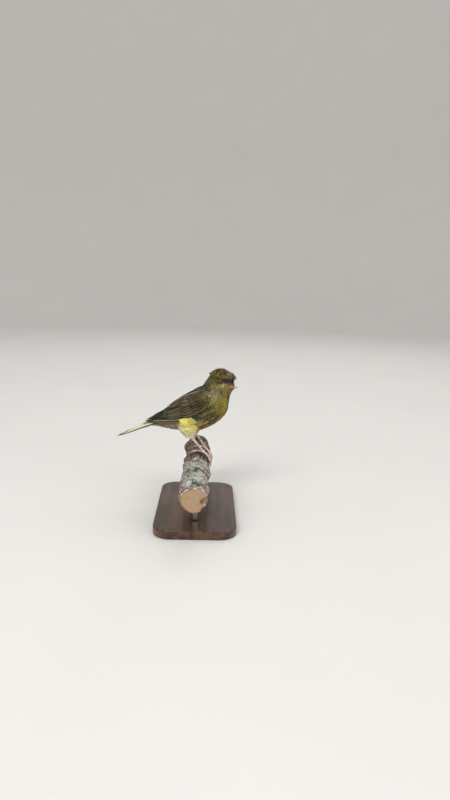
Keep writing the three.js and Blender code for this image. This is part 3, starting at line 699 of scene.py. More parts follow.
def bark_material():
    sh = Shader("bark", 0.85, Specular_IOR_Level=0.3)
    high, lichen_and_light, end = sh.split("bark")
    coarse, fine = sh.noise(110.0, 6.0, 0.7), sh.noise(520.0, 5.0, 0.65)
    mottle = sh.step(coarse, 0.38, 0.62)
    # where the lichen value is low, behind and under the bird, the bark takes a darker copy of its colours:
    # partly the bark's own darker brown there, partly painted shade of the bird; unshaded is the same bark
    # without it
    shaded = sh.mix(mottle, linear("#2c241b"), linear("#6e6152"))
    unshaded = sh.mix(mottle, linear("#66564e"), linear("#ab9a90"))
    brown = sh.mix(sh.step(lichen_and_light, 0.05, 0.3), shaded, unshaded)
    green = sh.mix(sh.step(coarse, 0.42, 0.58), linear("#77766b"), linear("#a9ab9f"))
    patches = (sh.noise(55.0, 3.0, 0.6) - 0.5) * 1.6
    colour = sh.mix(sh.step(lichen_and_light + patches, 0.25, 0.7), brown, green)
    flake = sh.step(fine, 0.53, 0.58) * sh.step(high, 0.35, 0.65)
    for factor, over in (
        (sh.step(sh.noise(240.0, 4.0), 0.54, 0.62) * 0.5, "#6f5045"),
        (flake * (0.35 + lichen_and_light * 0.65), "#e6e2da"),
        (sh.step(sh.noise(900.0, 2.0), 0.58, 0.64) * 0.8, "#2a211b"),
        # painted shade in the bark's crevices: the low places darken
        ((1.0 - sh.step(high, 0.25, 0.5)) * 0.85, "#30261f"),
    ):
        colour = sh.mix(factor, colour, linear(over))
    peel = sh.mix(sh.step(sh.noise(330.0, 4.0, 0.7), 0.46, 0.54), linear("#6a5546"), linear("#ece4d6"))
    return sh.finish(sh.mix(end, colour, peel), coarse * 0.6 + fine, 0.8, 0.8)


def end_grain_material():
    sh = Shader("end_grain", 0.7, Specular_IOR_Level=0.3)
    radius, _, knot = sh.split("ring")
    wobble = sh.noise(160.0, 4.0)
    rings = sh.math("SINE", radius * 40.0 + wobble * 6.0)
    wood = sh.mix(0.5 + rings * 0.22, linear("#9b8266"), linear("#b69d7e"))
    for factor, over in (
        (sh.step(sh.noise(330.0, 5.0, 0.7), 0.4, 0.62) * 0.45, "#9a7c5c"),
        (sh.step(sh.noise(1500.0, 2.0), 0.56, 0.68) * 0.5, "#8a6844"),
        (sh.step(radius, 0.82, 0.93), "#a8845c"),
        (sh.step(radius, 0.93, 0.97), "#5a4232"),
        (knot * sh.step(wobble, 0.3, 0.6), "#4a2f20"),
    ):
        wood = sh.mix(factor, wood, linear(over))
    return sh.finish(wood, rings + sh.noise(2600.0), 0.25, 0.1)


def walnut_material():
    sh = Shader("walnut", 0.38, Specular_IOR_Level=0.45, Coat_Weight=0.25, Coat_Roughness=0.25)
    along_grain = (1.0, 0.12, 1.0)
    figure, pores = sh.noise(130.0, 6.0, 0.6, along_grain), sh.noise(1500.0, 3.0, 0.6, along_grain)
    wood = sh.mix(sh.step(figure, 0.36, 0.64), linear("#2c1c13"), linear("#5c3e2a"))
    return sh.finish(sh.mix(sh.step(pores, 0.56, 0.7) * 0.5, wood, linear("#1d120c")), pores, 0.15, 0.1)


def steel_material():
    sh = Shader("brushed_steel", 0.3, Metallic=1.0, Anisotropic=0.5)
    brush = sh.noise(300.0, 3.0, 0.6, (1.0, 1.0, 25.0))
    return sh.finish(sh.mix(brush, linear("#a3a3a1"), linear("#cfcfcc")), brush, 0.12, 0.04)


def floor_material():
    sh = Shader("floor", 0.8, Specular_IOR_Level=0.2)
    return sh.finish(sh.mix(sh.noise(6.0, 2.0), linear("#dcdad6"), linear("#e2e0dc")))


PLUMAGE = feather_material("plumage", 0.75, 0.35, 0.08)
DOWN = feather_material("down", 0.8, 0.25, 0.25, 0.08)
WING = feather_material("wing_plumage", 0.62, 0.5, 0.04)
TAIL_PLUMAGE = feather_material("tail_plumage", 0.62, 0.5, 0.04)
CREST_PLUMAGE = feather_material("crest_plumage", 0.72, 0.45, 0.05)
SKIN = skin_material()


# Skin: one closed surface under the coat
def thigh_share(p):
    """1 where a place on the skin belongs to a thigh."""
    below = smooth(p[:, 2], 27, 20)
    return below * smooth(np.abs(p[:, 0] + 7.5), 12.5, 8.5) * smooth(np.abs(p[:, 1]), 2.0, 4.0)


def make_skin():
    def torso(t, angle, rim):
        station = lerp(0.4, FACE, t)
        middle = (catmull(BACK, station) + catmull(BELLY, station)) / 2
        middle = stack(middle[..., 0], 0.0, middle[..., 1])
        return np.where(rim[..., None] > 0, body(station, angle, -coat_depth(station)), middle)

    parts = [tube_mesh(torso, 72, 110)]
    for foot in FEET.values():
        parts.append(tube_mesh(lambda t, a, rim, foot=foot: thigh_point(foot, t, a, -1.2, rim), 32, 24))
    piece = make_mesh("skin", *joined(parts), SKIN)
    remesh = piece.modifiers.new("one_surface", "REMESH")
    remesh.mode, remesh.voxel_size, remesh.use_smooth_shade = "VOXEL", 0.55 * MM, True
    even = piece.modifiers.new("even", "SMOOTH")
    even.iterations, even.factor = 3, 0.5
    bpy.context.view_layer.update()
    done = bpy.data.meshes.new_from_object(piece.evaluated_get(bpy.context.evaluated_depsgraph_get()))
    piece.modifiers.clear()
    piece.data = done
    places = np.zeros(len(done.vertices) * 3, np.float32)
    done.vertices.foreach_get("co", places)
    places = places.reshape(-1, 3) / MM - BIRD_AT
    station, angle = nearest_station(places)
    set_attribute(done, "tone", painted(plumage(station, angle)[0], (thigh_share(places), COL.pale_yellow)))
    done.materials.clear()
    done.materials.append(SKIN)
    corners = np.zeros(len(done.loops), np.int32)
    done.loops.foreach_get("vertex_index", corners)
    set_bake(done, bake_place(station, angle), corners)
    dress(piece, "body_plumage", "head", "neck", "torso", "thigh_right", "thigh_left")


# Body coat
def lengths(station, down):
    """Feather length and half width at a place on the body; down is the angle from the back in degrees."""
    stations = [1, 3, 6, 8, 9.5, 11, 12.5, 14, 15]
    length = np.interp(station, stations, [8.5, 8.5, 8, 7, 5.6, 4.2, 2.9, 2.0, 1.4])
    half = np.interp(station, stations, [1.7, 1.75, 1.8, 1.6, 1.2, 0.86, 0.62, 0.46, 0.36])
    return length * (1 - 0.15 * smooth(down, 60, 0)), half


def coat_roots(rng):
    """Roots in rings along the body, each ring half a place on from the last."""
    rings = []
    at, odd = 1.0, 0
    while at < FACE - 0.05:
        length, half = lengths(np.array([at]), np.array([90.0]))
        scale, around = body_scale(np.array([at] * 3), np.radians([20.0, 90.0, 160.0]))
        count = int(round(TAU * around.mean() / (0.98 * half[0])))
        rings.append(stack(at, (np.arange(count) + 0.5 * odd) * TAU / count))
        at += 0.2 * length[0] / scale.mean()
        odd = 1 - odd
    station, angle = np.concatenate(rings).T
    angle = np.mod(angle + rng.normal(0, 0.03, len(angle)) + math.pi, TAU) - math.pi
    return station + rng.normal(0, 0.05, len(station)), angle


def wing_top(station):
    return lerp(7, 34, smooth(station, 4, 8))


def wing_foot(station):
    return 89 - 9 * smooth(station, 5, 4) - 16 * smooth(station, 6.3, 7.8)


def make_coat():
    rng = np.random.default_rng(21)
    station, angle = coat_roots(rng)
    down = np.degrees(np.abs(angle))
    # none under the wing or the crest, nor on the lids
    root = body(station, angle)
    past_lid = length_of(root - EYE["centre"] * stack(1, np.sign(angle), 1)) - EYE["lid_ring"]
    before_eye = root[:, 0] > EYE["centre"][0]
    under_wing = (station > 4.2) & (station < 7.45)
    under_wing = under_wing & (down > wing_top(station) + 10) & (down < wing_foot(station) - 10)
    under_crest = (station > 12.0) & (station < 14.4) & (down < 42)
    kept = ~(under_wing | under_crest | (past_lid < 0.9))
    found = station, angle, down, past_lid, before_eye
    station, angle, down, past_lid, before_eye = (values[kept] for values in found)
    length, half = lengths(station, down)
    length = np.where(before_eye, np.minimum(length, np.maximum(0.7, past_lid - 0.5)), length)
    n = len(length)
    length = length * rng.normal(1, 0.08, n)
    # some lie over the wing's edges
    past_foot = down - wing_foot(station)
    over_foot = between(station, 5.3, 6.2, 7.6, 8.2) * between(past_foot, -12, -4, 4, 16)
    over_wing = between(station, 7.2, 7.7, 8.3, 8.9) * between(down, 30, 45, 88, 100)
    under_tail = smooth(down, 100, 125) * smooth(station, 4.2, 3.2)
    turn = rng.normal(0, 0.12, n) - 0.4 * np.sign(angle) * over_foot
    low = -coat_depth(station) - 0.15 + 1.6 * over_foot
    high = -0.25 + rng.normal(0, 0.12, n) + np.maximum(2.6 * over_wing, 2.9 * over_foot)
    high = high + 1.5 * under_tail * rng.uniform(0.3, 1.1, n)
    for name, c, grid in (
        ("coat_back", (station < 9.2) & (down < 88), (5, 6)),
        ("coat_breast", (station < 9.2) & (down >= 88), (5, 6)),
        ("coat_neck", (station >= 9.2) & (station < 11.8), (4, 4)),
        ("coat_head", station >= 11.8, (4, 4)),
    ):
        coat = Vanes()
        lifts, look = (low[c], high[c], 0.25, 0.35, 0.12), plumage(station[c], angle[c])
        add_body_vanes(
            coat, rng, station[c], angle[c], length[c], half[c], turn[c], lifts, look, grid,
            profile=CONTOUR, ragged=0.09, tip_round=0.34, comb=0.13,
        )
        dress(coat.piece(name, PLUMAGE), "body_plumage")


def eye_frame(side):
    """The way an eye looks, two directions across that, and the eye's centre."""
    out = unit(np.array([0.24, side * 0.96, 0.06]))
    beside = unit(np.cross(out, (0, 0, 1.0)))
    return out, beside, np.cross(beside, out), EYE["centre"] * (1, side, 1)


def spoke(turn, beside, up):
    """The direction a turn away from `beside` towards `up`."""
    return np.cos(turn)[..., None] * beside + np.sin(turn)[..., None] * up


def make_eye_rings():
    """Tiny feathers that ray out round each eye."""
    def rise(t, under):
        return 0.12 * hump(t) - 0.9 * t**1.5 * (t > 0) - 0.06 * under

    rng = np.random.default_rng(8)
    coat = Vanes()
    for _, side in SIDES:
        out, beside, up, centre = eye_frame(side)
        for ring, count in ((0, 34), (1, 38)):
            turn = (np.arange(count) + 0.5 * ring) * TAU / count
            ray = spoke(turn, beside, up)
            start = centre + out * (EYE["lid_plane"] - 0.25 - 0.35 * ring)
            start = start + ray * (EYE["lid_ring"] + 0.25 + 0.7 * ring)
            size = rng.uniform(1.3, 1.8, count), np.full(count, 0.36)
            station, angle = nearest_station(start)
            tone, _, pattern = plumage(station, angle)
            tone = painted(tone * 0.7, (0.55 * smooth(-ray[:, 2], 0.1, 0.8), COL.eyelid))
            roots = bake_place(station, angle + 0.002 * TAU * np.cos(turn))
            rays, look = (ray, np.cross(out, ray), out), (tone, tone * 1.2, pattern)
            add_straight_vanes(coat, rng, start, rays, rise, (3, 2), roots, size, look)
    dress(coat.piece("coat_eye_rings", PLUMAGE), "body_plumage")


def make_bristles():
    """Bristly feathers that point forward over the bill's base, dark with painted shade from the crest in
    the middle and plumage-coloured at the sides.
    """
    def rise(t, under):
        return 0.9 * np.sin(math.pi * 0.6 * np.clip(t, 0, 1)) - 0.06 * under

    rng = np.random.default_rng(9)
    count = 150
    turn = rng.uniform(-2.7, 2.7, count)
    beside = smooth(np.abs(turn), 0.9, 1.5)
    station = rng.uniform(FACE - 1.1, FACE - 0.25, count)
    ray = unit(stack(1.0, 0.35 * np.sin(turn), lerp(-0.75, -0.3, beside) + rng.normal(0, 0.12, count)))
    out = unit(stack(0.3, np.sin(turn), np.cos(turn)))
    size = rng.uniform(1.5, 2.6, count) * lerp(1, 0.45, beside), np.full(count, 0.28)
    # the middle ones take the painted shade under the crest; the side ones take the plumage
    tone = painted(COL.lores, (beside, plumage(station, turn)[0]))
    look = tone, tone * 0.7, np.tile((0.2, 0.2, 0.0), (count, 1))
    coat = Vanes()
    rays = ray, unit(np.cross(ray, out)), out
    start = body(station, turn, -0.4)
    add_straight_vanes(coat, rng, start, rays, rise, (4, 2), bake_place(station, turn), size, look)
    dress(coat.piece("coat_bill_base", PLUMAGE), "body_plumage")


# Thighs
def add_down(coat, rng, foot):
    """Fluffy down all round a thigh."""
    rings = []
    for i, level in enumerate(np.linspace(-0.02, 0.9, 34)):
        count = int(round(lerp(84, 44, max(0, level) ** 1.5)))
        rings.append(stack(level, (np.arange(count) + 0.5 * (i % 2)) * TAU / count))
    t0, angle = np.concatenate(rings).T
    n = len(t0)
    t0 = t0 + rng.normal(0, 0.012, n)
    angle = angle + rng.normal(0, 0.06, n)
    span = length_of(np.array(foot["ankle"]) - np.array(foot["hip"]))
    length = lerp(6.4, 3.0, smooth(t0, 0.2, 1)) * rng.normal(1, 0.14, n)
    half = lerp(0.9, 0.5, smooth(t0, 0.2, 1)) * rng.uniform(0.6, 1.1, n)
    drift = rng.normal(0, 0.24, n)
    loose = smooth(-np.cos(angle), 0.0, 0.8) * smooth(t0, 0.1, 0.7)
    lift = rng.normal(0.1, 0.22, n) + loose * rng.uniform(0.1, 1.8, n)

    def place(t, s, under):
        forward = t * length[:, None]
        along = t0[:, None] + forward / span
        girth = lerp(8.0, 3.6, np.clip(along, 0, 1) ** 1.5)
        turn = angle[:, None] + (s * half[:, None] + drift[:, None] * forward) / girth
        rise = lerp(-1.3, lift[:, None], t) + 0.4 * hump(t) - 0.25 * s**2 - 0.1 * under
        return thigh_point(foot, np.minimum(along, 1.06), turn, rise - 9 * np.clip(along - 1, 0, 0.2))

    root = thigh_point(foot, t0, angle)
    tone = painted(
        COL.soft_yellow,
        (bell((np.cos(angle) - 0.25) / 0.6) * smooth(t0, 0.5, 0.15), COL.yellow),
        (0.85 * smooth(t0, 0.25, 0.95), COL.pale_yellow),
        (0.6 * smooth(t0, 0.7, 1.0), COL.cream),
        (0.85 * smooth(root[:, 0], -5.0, 0.5) * smooth(t0, 0.75, 0.4), COL.belly),
        (0.4 * smooth(-np.cos(angle), 0.2, 0.9) * smooth(t0, 0.9, 0.5), COL.mauve * 1.8),
    )
    tone = tone * (0.92 + 0.12 * noise(root / 2.0))[:, None]
    roots = stack(0.02 + 0.4 * t0 + 0.5 * (foot["y"] > 0), np.mod(angle / TAU, 1) * 0.9 + 0.03)
    look = tone, tone * 1.08, np.tile((0.4, 0.0, 0.0), (n, 1))
    coat.add(place, (4, 4), roots, (length, half), look, rng, **SOFT_COMB)


def add_flank_tufts(coat, rng, side):
    """The flank's soft feathers, which lie over the wing's lower edge."""
    count = 260
    station = rng.uniform(4.65, 5.3, count)
    angle = side * np.radians(rng.uniform(93, 110, count))
    turn = -side * rng.normal(0.4, 0.12, count)
    tone = painted(COL.yellow, (0.35 * rng.random(count), COL.soft_yellow),
                   (0.8 * smooth(station, 5.1, 5.35), COL.olive))
    lifts = (np.full(count, 0.4), rng.uniform(2.6, 3.7, count), 0.8, 0.3, 0.1)
    length, half = rng.uniform(6.0, 8.5, count), rng.uniform(0.7, 1.1, count)
    look = tone, tone * 1.15, np.tile((0.4, 0.0, 0.0), (count, 1))
    add_body_vanes(coat, rng, station, angle, length, half, turn, lifts, look, (5, 4), **SOFT_COMB)


def make_thighs():
    for (name, side), seed in zip(SIDES, (31, 32)):
        rng = np.random.default_rng(seed)
        coat = Vanes()
        add_down(coat, rng, FEET[name])
        add_flank_tufts(coat, rng, side)
        dress(coat.piece(f"coat_thigh_{name}", DOWN), "thigh_plumage")


# Wings
def wing_rows():
    """The rows of one wing's feathers, from the flight feathers to the shoulder.

    A row is: how many; root and tip (station, degrees down), lift (at root, at tip) and half width, each
    for the lowest feather and for the highest; tilt; tone, edge and pattern; outline; grid.
    """
    dark, fringe, soft = COL.primary, COL.fringe, COL.covert_edge
    shoulder, nape = COL.mantle, COL.nape
    olive = lerp(shoulder, COL.olive, 0.45)
    firm, streaked = (0.2, 0.0, 0.9), (0.24, 1.0, 0.0)
    return [
        # primaries, secondaries and tertials
        (8, [(5.9, 89), (5.9, 70)], [(0.62, 36), (0.62, 14)], [(1.1, 2.1), (1.9, 2.9)], (2.2, 2.7), 8,
         dark, fringe, (0.13, 0.0, 1.0), FLIGHT, (20, 6)),
        (6, [(5.5, 72), (5.5, 46)], [(3.0, 57), (3.2, 26)], [(1.6, 2.6), (1.6, 3.1)], (3.0, 3.0), 9,
         dark * 1.3, fringe * 0.55, (0.13, 0.0, 0.95), FLIGHT, (14, 6)),
        (3, [(5.9, 44), (5.9, 27)], [(3.2, 27), (4.2, 13)], [(1.7, 3.2), (1.7, 3.4)], (3.7, 3.7), 8,
         dark * 1.2, soft, (0.2, 0.3, 0.6), FLIGHT, (12, 6)),
        # primary coverts and the small feathers of the thumb
        (6, [(6.5, 91), (6.5, 82)], [(4.5, 88), (5.0, 77)], [(1.2, 2.1), (1.2, 2.5)], (1.5, 1.5), 8,
         dark, soft, firm, COVERT, (8, 4)),
        (3, [(6.9, 87), (6.9, 83)], [(5.7, 90), (6.0, 83)], [(1.2, 2.6), (1.2, 2.9)], (1.7, 1.7), 8,
         dark, soft, firm, COVERT, (8, 4)),
        # greater, median and lesser coverts
        (8, [(6.5, 80), (6.5, 34)], [(4.45, 75), (4.95, 25)], [(1.5, 3.1), (1.5, 3.4)], (2.7, 2.7), 9,
         olive * 0.7, soft, (0.16, 0.9, 0.25), COVERT, (10, 6)),
        (7, [(7.0, 80), (7.0, 34)], [(5.5, 78), (5.75, 29)], [(1.4, 3.4), (1.4, 3.4)], (2.7, 2.7), 8,
         olive * 0.75, soft, (0.16, 0.95, 0.2), COVERT, (9, 6)),
        (7, [(7.3, 79), (7.3, 36)], [(6.0, 80), (6.2, 34)], [(1.3, 3.2), (1.3, 3.2)], (2.5, 2.5), 8,
         nape * 0.75, COL.olive, (0.18, 0.95, 0.1), COVERT, (8, 6)),
        (7, [(7.6, 76), (7.6, 37)], [(6.5, 78), (6.6, 35)], [(0.8, 2.9), (0.8, 2.9)], (2.3, 2.3), 8,
         nape * 0.8, COL.olive, (0.2, 0.95, 0.1), COVERT, (7, 6)),
        (7, [(7.85, 72), (7.85, 39)], [(6.95, 75), (6.95, 38)], [(0.4, 2.5), (0.4, 2.5)], (2.2, 2.2), 6,
         nape, COL.olive, (0.2, 0.95, 0.0), COVERT, (7, 6)),
        # shoulder feathers along the back
        (6, [(7.4, 43), (6.2, 27)], [(5.5, 33), (3.9, 19)], [(1.2, 3.2), (1.2, 3.4)], (2.8, 2.8), 2,
         shoulder * 0.75, COL.soft_edge, streaked, COVERT, (10, 6)),
        (6, [(7.6, 34), (6.5, 22)], [(5.9, 24), (4.3, 14)], [(0.9, 3.0), (0.9, 3.3)], (2.8, 2.8), -2,
         shoulder * 0.75, COL.soft_edge, streaked, COVERT, (10, 6)),
        # the top row is darker: partly painted shade along the back's outline, partly the mantle's own dark
        # edge
        (7, [(8.0, 25), (6.8, 15)], [(6.8, 14), (5.1, 8)], [(0.1, 2.1), (0.1, 2.4)], (2.4, 2.4), -4,
         shoulder * 0.5, COL.soft_edge * 0.6, (0.2, 1.0, 0.0), COVERT, (9, 6)),
    ]


def add_wing_row(coat, rng, side, primaries, row):
    count, root, tip, lift, half, tilt, tone, edge, pattern, outline, grid = row
    share = np.linspace(0, 1, count)[:, None]
    root, tip, lift = (lerp(*np.array(pair, float), share) for pair in (root, tip, lift))
    half = lerp(*half, share)
    bow, glow = 1.0, 1.0
    if primaries:  # the lower ones stay low until near their tips, and every other one has a bright edge
        tip[:, :1] += 2.1 * np.maximum(0, share - 0.3) ** 1.1
        bow = 2.6 - 1.4 * share
        glow = np.where((share < 0.7) & (np.rint((count - 1) * share) % 2 == 1), 1.3, 0.25)
    tip = tip + rng.normal(0, (0.04, 0.5), (count, 2))
    length = length_of(body(root[:, 0], np.radians(root[:, 1])) - body(tip[:, 0], np.radians(tip[:, 1])))
    tilt = math.sin(math.radians(tilt))

    def along(t):
        t = np.maximum(t, 0.0)
        return lerp(root[:, :1], tip[:, :1], t), np.radians(lerp(root[:, 1:], tip[:, 1:], t**bow))

    def place(t, s, under):
        rise = lerp(lift[:, :1], lift[:, 1:], t)
        here = body(*along(t), rise)
        ahead = unit(body(*along(t + 0.05), rise) - here)
        out = unit(body(*along(t), rise + 1) - here)
        out = unit(out - ahead * np.sum(out * ahead, axis=-1, keepdims=True))
        shaft = 0.14 * (np.abs(s) < 0.01) * (under == 0)
        height = s * half * tilt + shaft - 0.16 * s**2 - 0.12 * under
        return (here + np.cross(ahead, out) * (s * half)[..., None] + out * height[..., None]) * (1, side, 1)

    tone = tone * rng.uniform(0.75, 1.25, (count, 1))
    edge = edge * glow * rng.uniform(0.7, 1.25, (count, 1))
    wrist = 0.75 * bell((root[:, 0] - 7.3) / 0.7) * bell((root[:, 1] - 66) / 9)
    tone, edge = (painted(given, (wrist, COL.streak)) for given in (tone, edge))
    look = tone, edge, np.tile(pattern, (count, 1))
    roots = bake_place(root[:, 0], side * np.radians(root[:, 1]))
    coat.add(place, grid, roots, (length, half[:, 0]), look, rng, outline, ragged=0.018, tip_round=0.1)


def make_wing(name, side):
    rng = np.random.default_rng(41 if side < 0 else 42)
    coat = Vanes()
    for number, row in enumerate(wing_rows()):
        add_wing_row(coat, rng, side, number == 0, row)
    dress(coat.piece(f"plumes_wing_{name}", WING), "wing_plumage", f"wing_{name}")


def make_wing_arm(name, side):
    """The wing's own arm under its feathers."""
    def place(t, angle, rim):
        station = lerp(4.3, 7.5, t)
        top, foot = wing_top(station) + 6, wing_foot(station) - 5
        down = np.radians(lerp(top, foot, 0.5 + 0.5 * soften(np.cos(angle)) * rim))
        thick = 0.75 * np.sin(math.pi * np.clip(t, 0.04, 0.96)) ** 0.6
        return body(station, down, 0.35 + thick * (0.5 + 0.5 * np.sin(angle) * rim)) * (1, side, 1)

    points, faces = tube_mesh(place, 28, 16)
    tone = np.tile(COL.covert, (len(points), 1))
    dress(make_mesh(f"wing_arm_{name}", points, faces, SKIN, {"tone": tone}), "wing_plumage")


# Tail
def make_tail():
    rng = np.random.default_rng(51)
    slope = math.radians(TAIL["slope"])
    step, side = np.repeat(np.arange(6), 2), np.tile((-1, 1), 6)
    out = side * (step + 0.5)
    reach = TAIL["length"] - 3.4 + 0.9 * np.minimum(step, 4)
    lift = -0.3 * step - 0.1 * (out > 0)
    half = np.full(len(out), 3.1)

    def place(t, s, under):
        far = (reach[:, None] + 2) * t
        across = s * half[:, None]
        x = TAIL["root_x"] + 2 - far * math.cos(slope)
        y = out[:, None] * lerp(TAIL["root_pitch"], TAIL["tip_pitch"], t) + across
        z = TAIL["root_z"] + 0.7 - far * math.sin(slope) + lift[:, None] + 0.9 * hump(t)
        shaft = 0.16 * (np.abs(s) < 0.01) * (under == 0)
        return stack(x, y, z - np.sin(np.radians(5.0 * out))[:, None] * across + shaft - 0.12 * under)

    tone = painted(COL.cream, (0.25 * (step > 3), COL.dusky), (0.3 * (step < 3), COL.yellow))
    edge = painted(COL.pale_yellow, (np.where(step > 3, 0.95, 0.05), COL.dark))
    look = tone, edge, stack(0.12 + 0.04 * step, 0.05, 0.0)
    roots = stack(0.02 + 0.003 * step, 0.5 + out * 0.01)
    coat = Vanes()
    coat.add(place, (20, 6), roots, (reach, half), look, rng, FLIGHT, ragged=0.014, tip_round=0.12)
    dress(coat.piece("plumes_tail", TAIL_PLUMAGE), "tail_plumage", "tail")


# Crest. A row is: its share of the way to the rim, how many, where they start, lift, droop, half width,
# how far forward a feather has to point, and whether it is of the brow under the crest, which is dark with
# painted shade.
CREST_ROWS = [
    (0.84, 80, 8.2, -3.9, 1.0, 0.75, 0.25, True),
    (0.9, 80, 7.6, -2.8, 0.9, 0.8, 0.25, True),
    (0.96, 80, 6.8, -1.9, 0.9, 0.85, 0.25, False),
    (1.0, 96, 6.4, -1.0, 0.8, 0.85, -2, False),
    (0.97, 92, 5.8, -0.7, 0.3, 0.85, -2, False),
    (0.88, 84, 4.8, -0.4, 0.0, 0.82, -2, False),
    (0.77, 74, 3.8, -0.2, 0.0, 0.8, -2, False),
    (0.65, 64, 2.8, -0.1, 0.0, 0.76, -2, False),
    (0.53, 52, 1.9, 0.1, 0.1, 0.72, -2, False),
    (0.4, 38, 1.0, 0.25, 0.0, 0.68, -2, False),
    (0.27, 22, 0.3, 0.35, 0.0, 0.64, -2, False),
]


def crest_height(x, y):
    dx = x - CREST["x"]
    fall = np.where(dx > 0, 0.026, 0.045)
    return CREST["z"] - fall * dx**2 - 1.1 * bell((dx - CREST["dip"]) / 1.7) - 0.043 * y**2


def add_crest_row(coat, rng, share, count, start, lift, droop, wide, least, shaded_brow):
    angle = (np.arange(count) + rng.random()) * TAU / count + rng.normal(0, 0.05, count)
    angle = angle[np.cos(angle) > least]
    ahead, count = np.cos(angle), len(angle)
    far = np.where(ahead > 0, CREST["front"], CREST["back"])
    blunt = lerp(share, 1, 0.45 * smooth(ahead, 0.4, 0.9) * (share > 0.7))
    reach = lerp(CREST["side"], far, ahead**2) * blunt * rng.uniform(0.93, 1.03, count)
    length = reach - start
    half = wide * rng.uniform(0.85, 1.15, count)
    bend = rng.normal(0, 0.07, count)
    rise = lift - droop * ahead * np.abs(ahead) + rng.normal(0, 0.15, count)
    curl = rng.uniform(-0.2, 0.8, count) + 1.1 * (rng.random(count) > 0.72)
    curl = curl * (not shaded_brow)

    def place(t, s, under):
        r = start + length[:, None] * t
        turn = angle[:, None] + bend[:, None] * t
        across = s * half[:, None]
        x = CREST["x"] + r * np.cos(turn) - across * np.sin(turn)
        y = r * np.sin(turn) + across * np.cos(turn)
        up = curl[:, None] * np.maximum(0, t - 0.55) ** 2 * 5 - 1.5 * np.maximum(0, 1 - 2.5 * t)
        return stack(x, y, crest_height(x, y) + rise[:, None] + up - 0.2 * s**2 - 0.1 * under)

    luck = rng.random(count)
    if shaded_brow:
        # the brow's feathers are dark with painted shade under the crest
        tone = COL.lores * (0.7 + luck[:, None])
        look = tone, tone * 0.7, np.tile((0.2, 0.2, 0.0), (count, 1))
    else:
        forward = smooth(ahead, 0.3, 0.95)
        tip_at = stack(reach * np.cos(angle), reach * np.sin(angle), 3.0 * share)
        spots = smooth(noise(tip_at / 1.1 + 20), 0.45, 0.6) * lerp(1, 0.5, smooth(share, 0.8, 1.0))
        tone = painted(COL.crest, (0.8 * forward, COL.crest_front), (0.4 * luck, COL.crest_edge),
                       (0.85 * spots, COL.crest_tip))
        edge = painted(COL.crest_tip, (0.4 * luck, COL.crest))
        look = tone, edge, stack(0.24 - 0.12 * forward, 0.45 - 0.25 * forward, 0.0)
    x, y = CREST["x"] + start * np.cos(angle), start * np.sin(angle)
    roots = bake_place(*nearest_station(stack(x, y, crest_height(x, y))))
    coat.add(place, (8, 4), roots, (length, half), look, rng, CRESTED, ragged=0.06, tip_round=0.25)


def make_crest():
    rng = np.random.default_rng(61)
    coat = Vanes()
    for row in CREST_ROWS:
        add_crest_row(coat, rng, *row)
    dress(coat.piece("plumes_crest", CREST_PLUMAGE), "crest_plumage")


# Eyes
def make_eye(name, side):
    out, beside, up, centre = eye_frame(side)

    def ball(t, angle, rim):
        polar = math.pi * np.clip(t, 0.004, 0.996)
        r = EYE["radius"] * (1 + 0.05 * bell(polar / 0.55))
        ray = (np.sin(polar) * rim)[..., None] * spoke(angle, beside, up)
        return centre + r[..., None] * (ray + np.cos(polar)[..., None] * out)

    points, faces = tube_mesh(ball, 48, 32)
    off = np.degrees(np.arccos(np.clip(unit(points - centre) @ out, -1, 1)))
    eye = make_mesh(f"eyeball_{name}", points, faces, eye_material(), {"iris": off / 50})
    dress(eye, "eye", f"eye_{name}")
    middle = centre + out * EYE["lid_plane"]

    def lid(t, angle, rim):
        turn = TAU * t
        ray = spoke(turn, beside, up)
        thick = (0.27 + 0.1 * smooth(-np.sin(turn), -0.2, 0.9)) * (1 + 0.1 * np.sin(22 * turn)) * rim
        ring = EYE["lid_ring"] * (1 - 0.07 * np.abs(np.sin(turn)))
        return middle + ray * ring[..., None] + thick[..., None] * spoke(angle, ray, out)

    points, faces = tube_mesh(lid, 12, 96)
    low = smooth(-(points - middle) @ up, -0.5, 1.6)
    lids = make_mesh(f"lids_{name}", points, faces, lid_material(f"lid_{name}"), {"low": low})
    dress(lids, "body_plumage")


# Bill
BILL_HALVES = {
    "upper": {
        "sign": 1, "deep": 3.2, "short": 0, "taper": 0.7, "wide": 1, "dark": 0.85, "colour": "#ecddcc",
    },
    "lower": {
        "sign": -1, "deep": 2.6, "short": 0.8, "taper": 0.8, "wide": 0.92, "dark": 0.4, "colour": "#efe3d5",
    },
}


